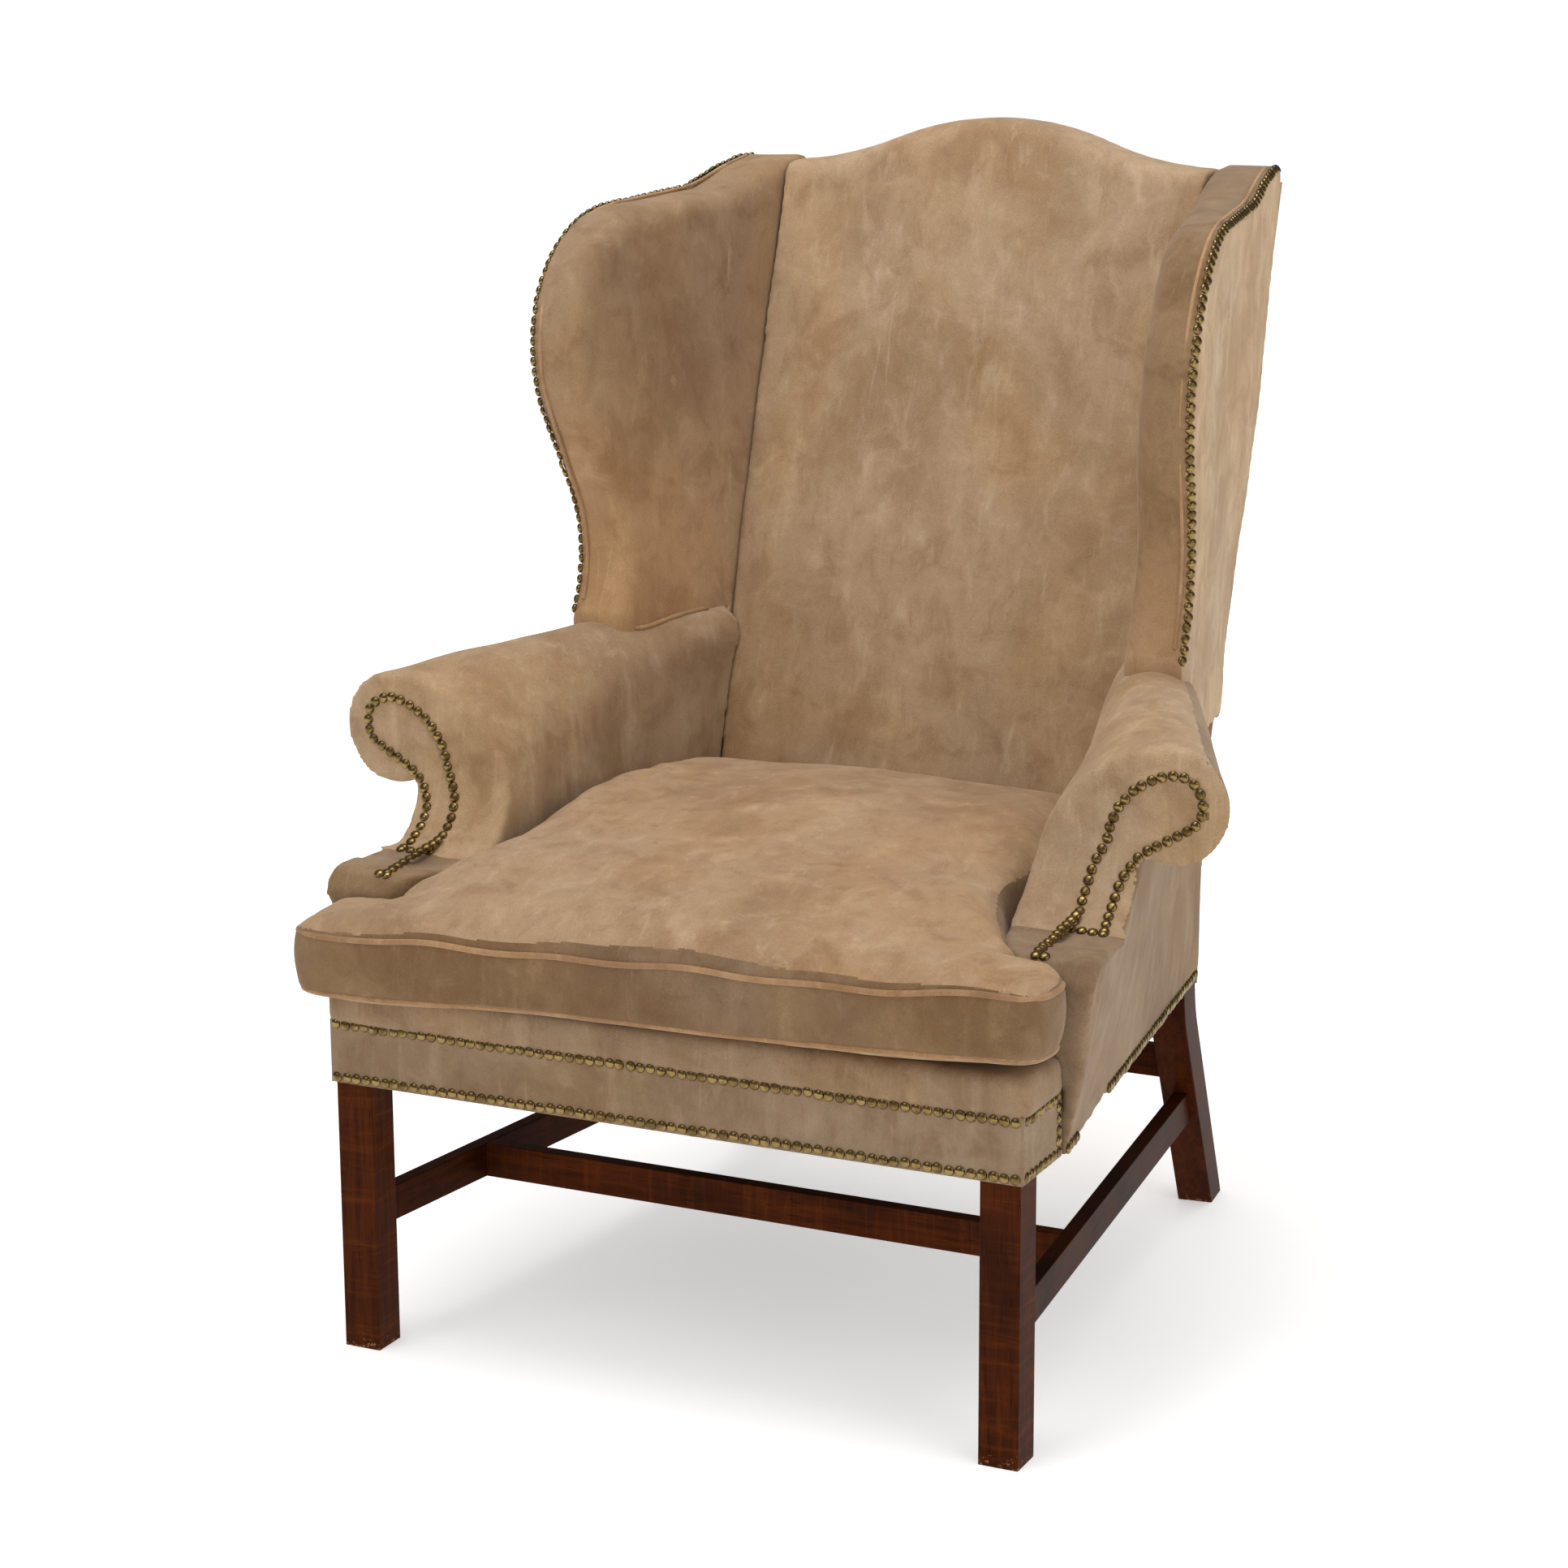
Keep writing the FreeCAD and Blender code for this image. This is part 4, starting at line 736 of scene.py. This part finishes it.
class CHAIR_OT_wings(bpy.types.Operator):
    """Upholsters both wings and their outside panels."""

    bl_idname = "chair.wings"
    bl_label = "Wings"

    def execute(self, context):
        settings = context.scene.chair
        # The inner wings are painted darker than their outside panels: partly the suede's own darker nap,
        # partly painted shade of the wing's hollow.
        inner_tones_with_shade = {"left": 0.62, "right": 0.48}
        for side, sign in SIDES:
            nodes = ["wing_cover_" + side, "wing_pad_" + side, "outside_wing_" + side]
            inner = ["wing_post_" + side, "wing_rail_" + side]
            wing = joined("wing_upholstery_" + side, nodes + inner, settings.voxel, nodes[2:],
                          -SHEET_STEP * sign)
            round_corner(wing.data)
            sunk(wing.data, 0.045)
            relaxed(wing.data, 10)
            uneven(wing.data, settings.unevenness, settings.seed + 20 + sign, 18.0)
            seated(wing.data, ["arm_and_wing_nails"])
            # Painted light and shade by height: the inner wing's cloth is painted lighter towards its foot.
            inner = tinted("wing_suede_" + side, inner_tones_with_shade[side], (0.7 * sign, 0.4, 0.1), nap=(0.1, 0.5, 0.3),
                           worn=0.5, brushed=0.3, warm=1.04, painted_light_by_height=(0.96, 0.66, 0.5))
            dress(wing, inner, "chair", nodes)
            outer = tinted("outside_wing_suede_" + side, 1.03, (0.2, 1.4 * sign, 0.3), nap=(0.05, 0.0, 0.0),
                           warm=0.95)
            second_cloth(wing, outer, lambda facing, middle: facing[:, 0] * sign > 0.72)
        return {"FINISHED"}


def sunk(mesh, depth):
    """Lets the underside of a wing run down into its arm."""
    places = coordinates(mesh)
    places[:, 2] -= depth * eased(-normals(mesh)[:, 2], 0.15, 0.5) * (places[:, 2] < 0.68)
    set_coordinates(mesh, places)


def round_corner(mesh, radius=0.014):
    """Rounds the top back corner of a wing, seen from the side."""
    places = coordinates(mesh)
    top, rear = places[:, 2].max(), places[:, 1].max()
    lean = 0.284
    across = places[:, 1] - (rear - radius) - lean * (places[:, 2] - top)
    up = places[:, 2] - (top - radius)
    far = np.hypot(across, up)
    out = (across > 0) & (up > 0) & (far > radius)
    share = (radius / np.maximum(far, 1e-9))[out]
    places[out, 1] += across[out] * (share - 1)
    places[out, 2] += up[out] * (share - 1)
    set_coordinates(mesh, places)


class CHAIR_OT_arms(bpy.types.Operator):
    """Upholsters both arms with their scrolls and facings, and hangs the outside panels."""

    bl_idname = "chair.arms"
    bl_label = "Arms"

    def execute(self, context):
        settings = context.scene.chair
        for side, sign in SIDES:
            nodes = ["arm_cover_" + side, "arm_pad_" + side, "arm_facing_" + side, "outside_arm_" + side]
            inner = ["arm_post_" + side, "arm_rail_" + side]
            arm = joined("arm_upholstery_" + side, nodes + inner, 0.8 * settings.voxel, nodes[3:],
                         -SHEET_STEP * sign)
            relaxed(arm.data, 8)
            uneven(arm.data, settings.unevenness, settings.seed + 30 + sign, 20.0)
            seated(arm.data, ["arm_and_wing_nails", "rail_nails"])
            lining = tinted("arm_suede_" + side, 0.89, (0.2, 0.7 * sign, 0.5), nap=(0.3, 0.9, 0.2), warm=0.97)
            dress(arm, lining, "chair", nodes)
            outer = tinted("outside_arm_suede_" + side, 0.55, (0.6, 0.2, 1.4 * sign), nap=(0.05, 0.0, 0.0))
            second_cloth(arm, outer, lambda facing, middle: (facing[:, 0] * sign > 0.6)
                         | beyond_nails(middle, sign))
        return {"FINISHED"}


def beyond_nails(middle, sign):
    """Which places lie below an arm's facing, or outside the nails that run down its outer edge."""
    foot, top, front = 0.464, 0.53, FRONT + 0.15
    row = [apex for apex, _ in nail_places("arm_and_wing_nails")
           if apex[0] * sign > 0 and apex[1] < front and foot < apex[2] < top]
    levels = np.arange(foot, top, 0.01)
    edge = [max([abs(apex[0]) for apex in row if abs(apex[2] - level) < 0.008] or [0.4]) for level in levels]
    outside = middle[:, 0] * sign > np.interp(middle[:, 2], levels, edge)
    return (middle[:, 1] < front) & ((middle[:, 2] < foot) | (outside & (middle[:, 2] < top)))


class CHAIR_OT_seat(bpy.types.Operator):
    """Covers the platform and the front border."""

    bl_idname = "chair.seat"
    bl_label = "Seat"

    def execute(self, context):
        settings = context.scene.chair
        deck = joined("deck_upholstery", ["deck_cover", "deck_pad"], settings.voxel)
        places = coordinates(deck.data)
        border_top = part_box("front_border")[1].z
        lowest, bend = places[:, 2].min(), 0.345
        below = (places[:, 2] < bend) & (places[:, 1] < FRONT + 0.084)
        share = (bend - places[below, 2]) / (bend - lowest)
        places[below, 2] = bend - share * (bend - border_top + 0.003)
        set_coordinates(deck.data, places)
        relaxed(deck.data, 6)
        uneven(deck.data, settings.unevenness * 0.6, settings.seed + 40, 22.0)
        material = tinted("deck_suede", 0.62, (0.1, 0.9, 0.3), nap=(0.0, 0.0, 1.2))
        dress(deck, material, "chair", ("deck_cover", "deck_pad"))
        border = refined("front_border_cover", "front_border", 0.012)
        # The border is painted darker than the seat's top: partly a darker suede, partly painted shade of an
        # upright face.
        material = tinted("border_suede_and_shade", 0.58, (0.9, 0.1, 0.6), nap=(0.0, 1.2, 0.2), warm=0.97)
        dress(border, material, "chair", ("front_border",))
        return {"FINISHED"}


class CHAIR_OT_cushion(bpy.types.Operator):
    """Fills the loose cushion and sews its welts."""

    bl_idname = "chair.cushion"
    bl_label = "Cushion"

    def execute(self, context):
        settings = context.scene.chair
        nodes = ["cushion_core", "cushion_top", "cushion_boxing", "cushion_bottom"]
        cushion = joined("cushion_upholstery", nodes, settings.voxel)
        relaxed(cushion.data, 8)
        swell(cushion, settings.cushion_pressure, settings.cushion_swell)
        uneven(cushion.data, 0.7 * settings.unevenness, settings.seed + 50, 26.0)
        smooth = cushion.modifiers.new("fine", "SUBSURF")
        smooth.levels = smooth.render_levels = 1
        settled(cushion)
        seams = [(name, seam_round(cushion, z)) for name, z in CUSHION_SEAMS]
        sit_askew(cushion.data)
        material = tinted("cushion_suede", 0.79, (0.5, 0.3, 0.8), nap=(1.2, 0.2, 0.4), warm=1.03)
        dress(cushion, material, "cushion", nodes)
        # The boxing's upright faces are painted darker than the cushion's top: partly a darker suede, partly
        # painted shade of the upright sides under the bulge.
        boxing = tinted("boxing_suede_and_shade", 0.43, (0.8, 0.5, 0.1), nap=(0.0, 1.4, 0.2), brushed=0.3, warm=1.06)
        second_cloth(cushion, boxing, lambda facing, middle: abs(facing[:, 2]) < 0.6)
        for name, run in seams:
            welt = tube(name, run, 0.0029, closed=True)
            sit_askew(welt.data)
            material = tinted(name + "_suede", 0.66, (0.4, 0.2, 0.1), warm=1.12)
            dress(welt, material, "cushion", ("cushion_welts",) if "top" in name else ())
        return {"FINISHED"}


class CHAIR_OT_wing_welts(bpy.types.Operator):
    """Sews the welts along the wings' edges."""

    bl_idname = "chair.wing_welts"
    bl_label = "Wing welts"

    def execute(self, context):
        material = tinted("wing_welt_suede", 0.78, (0.4, 0.2, 0.1), warm=1.1)
        paint("wing_welts", material)
        for side, sign in SIDES:
            skins = [bpy.data.objects[name + side].data for name in ("arm_upholstery_", "wing_upholstery_")]
            trees = [surface_tree(mesh) for mesh in skins]
            run = []
            for y in WING_FOOT:
                inner = trees[1].ray_cast(Vector((0, FRONT + y, 0.662)), Vector((sign, 0, 0)))[0]
                if inner is None:
                    continue
                above = Vector((inner.x - sign * 0.0025, inner.y, 0.72))
                top = trees[0].ray_cast(above, Vector((0, 0, -1)))[0]
                if top is not None:
                    run.append((top.x, top.y, top.z + 0.001))
            run = even_run(run, 0.004)
            for _ in range(12):
                run[1:-1] = 0.5 * run[1:-1] + 0.25 * (run[:-2] + run[2:])
            dress(tube("wing_foot_welt_" + side, run, 0.0026), material, "chair")
        return {"FINISHED"}


class CHAIR_OT_nails(bpy.types.Operator):
    """Drives the rows of brass nails."""

    bl_idname = "chair.nails"
    bl_label = "Brass nails"

    def execute(self, context):
        settings = context.scene.chair
        material = metal("antique_brass", colour(140, 118, 74), colour(104, 84, 50), 0.22, spots=90.0)
        for node in ("rail_nails", "arm_and_wing_nails"):
            heads = nail_heads(node + "_heads", node, settings)
            dress(heads, material, "chair", (node,))
        return {"FINISHED"}


def sit_askew(mesh):
    """Lets a used cushion lie askew: full at the arms, its left ear low and its right ear riding up."""
    places = coordinates(mesh)
    across, depth, height = places[:, 0], places[:, 1] - FRONT, places[:, 2]
    full = eased(depth, 0.03, 0.12) * eased(height, 0.433, 0.46)
    height += full * (0.004 + 0.012 * eased(abs(across), 0.1, 0.25))
    low = -0.013 * eased(-across, 0.02, 0.37) * eased(depth, 0.11, 0.01)
    high = 0.012 * eased(across, 0.02, 0.37) * eased(depth, 0.3, 0.03)
    wavy = 0.0022 * np.sin(across * 21.0 + 0.6) + 0.0014 * np.sin(across * 47.0)
    height += low + high + wavy * eased(height, 0.37, 0.42) * eased(depth, 0.2, 0.03)
    over = (depth > -0.004) & (height < PLATFORM)
    height[over] = PLATFORM
    wider = np.where(across < 0, -0.016, 0.004) * eased(abs(across), 0.27, 0.37)
    across += eased(depth, 0.055, 0.045) * wider
    neck = eased(depth, 0.052, 0.075) * eased(depth, 0.22, 0.12) * eased(abs(across), 0.2, 0.27)
    across += 0.019 * np.sign(across) * neck
    places[:, 0], places[:, 2] = across, height
    set_coordinates(mesh, places)


def swell(piece, pressure, most):
    """Blows a closed piece up a little with a cloth simulation, and keeps the result in its mesh."""
    scene = bpy.context.scene
    start = coordinates(piece.data)
    cloth = piece.modifiers.new("fill", "CLOTH")
    cloth.settings.use_pressure = True
    cloth.settings.uniform_pressure_force = pressure
    cloth.settings.effector_weights.gravity = 0.0
    cloth.settings.quality = 5
    cloth.point_cache.frame_start = 1
    cloth.point_cache.frame_end = 20
    for number in range(1, 21):
        scene.frame_set(number)
    graph = bpy.context.evaluated_depsgraph_get()
    swollen = bpy.data.meshes.new_from_object(piece.evaluated_get(graph))
    moved = coordinates(swollen) - start
    far = np.linalg.norm(moved, axis=1)
    moved *= (most * np.tanh(far / most) / np.maximum(far, 1e-9))[:, None]
    piece.modifiers.clear()
    bpy.data.meshes.remove(swollen)
    scene.frame_set(1)
    set_coordinates(piece.data, start + moved)


def seam_round(piece, z):
    """The closed line round a T-shaped piece at a height, found from inside it."""
    tree = surface_tree(piece.data)
    places = coordinates(piece.data)
    front, back = places[:, 1].min() + 0.014, places[:, 1].max() - 0.02
    starts = [(Vector((0, y, z)), Vector((1, 0, 0))) for y in np.linspace(front, back, 140)]
    starts += [(Vector((x, back - 0.1, z)), Vector((0, 1, 0))) for x in np.linspace(0.19, -0.19, 80)]
    starts += [(Vector((0, y, z)), Vector((-1, 0, 0))) for y in np.linspace(back, front, 140)]
    starts += [(Vector((x, front + 0.01, z)), Vector((0, -1, 0))) for x in np.linspace(-0.345, 0.345, 140)]
    hits = [tree.ray_cast(place, out)[0] for place, out in starts]
    run = [hit for hit in hits if hit is not None]
    run = even_run([tuple(p) for p in run], 0.004, closed=True)
    for _ in range(10):
        run = 0.5 * run + 0.25 * (np.roll(run, 1, axis=0) + np.roll(run, -1, axis=0))
    return run


class CHAIR_OT_stage(bpy.types.Operator):
    """Sets the floor, the light and the camera."""

    bl_idname = "chair.stage"
    bl_label = "Stage"

    def execute(self, context):
        settings = context.scene.chair_stage
        scene = context.scene
        floor_mesh = bpy.data.meshes.new("floor")
        reach = 12.0
        corners = [(-reach, -reach, 0), (reach, -reach, 0), (reach, reach, 0), (-reach, reach, 0)]
        floor_mesh.from_pydata(corners, [], [(0, 1, 2, 3)])
        floor = piece_of("floor", floor_mesh)
        shader = Shader("glowing_floor")
        mottle = shader.noise(shader.place(), 2.0, 2.0)
        tone = shader.mix(mottle * 0.3, (0.93, 0.93, 0.93, 1), (0.9, 0.9, 0.9, 1))
        across = shader.node("ShaderNodeSeparateXYZ", (shader.place(),), output="X")
        depth = shader.node("ShaderNodeSeparateXYZ", (shader.place(),), output="Y")
        # Painted light: the floor glows, weakly near the chair and more strongly far off, so that it turns
        # white away from the chair and lights the chair from below.
        far = (across * across + depth * depth).step(0.5, 4.0)
        glow = shader.mix(far, (0.4, 0.4, 0.4, 1), (0.72, 0.72, 0.72, 1))
        floor_mesh.materials.append(shader.finish(Base_Color=tone, Roughness=0.9, Specular_IOR_Level=0.0,
                                                  Emission_Color=glow, Emission_Strength=1.0))
        world = bpy.data.worlds.new("studio")
        scene.world = world
        world.use_nodes = True
        tree = world.node_tree
        soft = tree.nodes["Background"]
        soft.inputs["Color"].default_value = (1.0, 0.985, 0.96, 1)
        soft.inputs["Strength"].default_value = settings.ambient
        white = tree.nodes.new("ShaderNodeBackground")
        white.inputs["Color"].default_value = (1.0, 1.0, 1.0, 1)
        white.inputs["Strength"].default_value = 1.05
        dim = tree.nodes.new("ShaderNodeBackground")
        dim.inputs["Strength"].default_value = 0.2
        seen = tree.nodes.new("ShaderNodeLightPath")
        shown = soft.outputs["Background"]
        for ray, other in (("Is Glossy Ray", dim), ("Is Camera Ray", white)):
            pick = tree.nodes.new("ShaderNodeMixShader")
            tree.links.new(seen.outputs[ray], pick.inputs["Fac"])
            tree.links.new(shown, pick.inputs[1])
            tree.links.new(other.outputs["Background"], pick.inputs[2])
            shown = pick.outputs["Shader"]
        tree.links.new(shown, tree.nodes["World Output"].inputs["Surface"])
        aim = Vector((0.0, 0.0, 0.6))
        for name, place, size, power in (("key", (-1.2, -3.0, 3.4), 2.2, settings.key),
                                         ("fill", (3.2, -1.2, 2.0), 2.4, settings.fill),
                                         ("top", (-0.2, -0.3, 3.6), 2.2, settings.top)):
            light = bpy.data.lights.new(name, "AREA")
            light.size = size
            light.energy = power
            lamp = bpy.data.objects.new(name, light)
            lamp.location = place
            lamp.rotation_euler = (aim - Vector(place)).to_track_quat("-Z", "Y").to_euler()
            scene.collection.objects.link(lamp)
        self.camera(scene, settings)
        scene.view_settings.view_transform = "Standard"
        return {"FINISHED"}

    def camera(self, scene, settings):
        """Places the camera where the picture was taken from."""
        turn, tilt, roll = settings.azimuth, settings.elevation, settings.roll
        ahead = Vector((-math.sin(turn) * math.cos(tilt), math.cos(turn) * math.cos(tilt), -math.sin(tilt)))
        right = Vector((math.cos(turn), math.sin(turn), 0))
        down = ahead.cross(right)
        across = right * math.cos(roll) + down * math.sin(roll)
        along = down * math.cos(roll) - right * math.sin(roll)
        camera = bpy.data.cameras.new("camera")
        camera.lens = settings.lens
        camera.sensor_width = 36.0
        eye = bpy.data.objects.new("camera", camera)
        axes = Matrix((across, -along, -ahead)).transposed().to_4x4()
        eye.matrix_world = Matrix.Translation((1.4794, FRONT - 2.785, 1.3368)) @ axes
        scene.collection.objects.link(eye)
        scene.camera = eye


class CHAIR_PT_panel(bpy.types.Panel):
    """The chair's pieces, in the order they are made."""

    bl_idname = "CHAIR_PT_panel"
    bl_label = "Wingback Armchair"
    bl_space_type = "VIEW_3D"
    bl_region_type = "UI"
    bl_category = "Armchair"

    def draw(self, context):
        for name in ("voxel", "cushion_pressure", "cushion_swell", "unevenness", "seed"):
            self.layout.prop(context.scene.chair, name)
        for name in ("lens", "key", "fill", "top", "ambient"):
            self.layout.prop(context.scene.chair_stage, name)
        for operator in OPERATORS:
            self.layout.operator(operator.bl_idname)


OPERATORS = (CHAIR_OT_stage, CHAIR_OT_woodwork, CHAIR_OT_linings, CHAIR_OT_back, CHAIR_OT_wings,
             CHAIR_OT_arms, CHAIR_OT_seat, CHAIR_OT_cushion, CHAIR_OT_wing_welts, CHAIR_OT_nails)
CLASSES = (ChairSettings, StageSettings) + OPERATORS + (CHAIR_PT_panel,)


def register():
    for kind in CLASSES:
        bpy.utils.register_class(kind)
    bpy.types.Scene.chair = bpy.props.PointerProperty(type=ChairSettings)
    bpy.types.Scene.chair_stage = bpy.props.PointerProperty(type=StageSettings)


def unregister():
    del bpy.types.Scene.chair_stage
    del bpy.types.Scene.chair
    for kind in reversed(CLASSES):
        bpy.utils.unregister_class(kind)


def main():
    register()
    bpy.ops.chair.stage()
    bpy.ops.chair.woodwork()
    bpy.ops.chair.linings()
    bpy.ops.chair.back()
    bpy.ops.chair.wings()
    bpy.ops.chair.arms()
    bpy.ops.chair.seat()
    bpy.ops.chair.cushion()
    bpy.ops.chair.wing_welts()
    bpy.ops.chair.nails()
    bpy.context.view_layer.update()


if __name__ == "__main__":
    main()
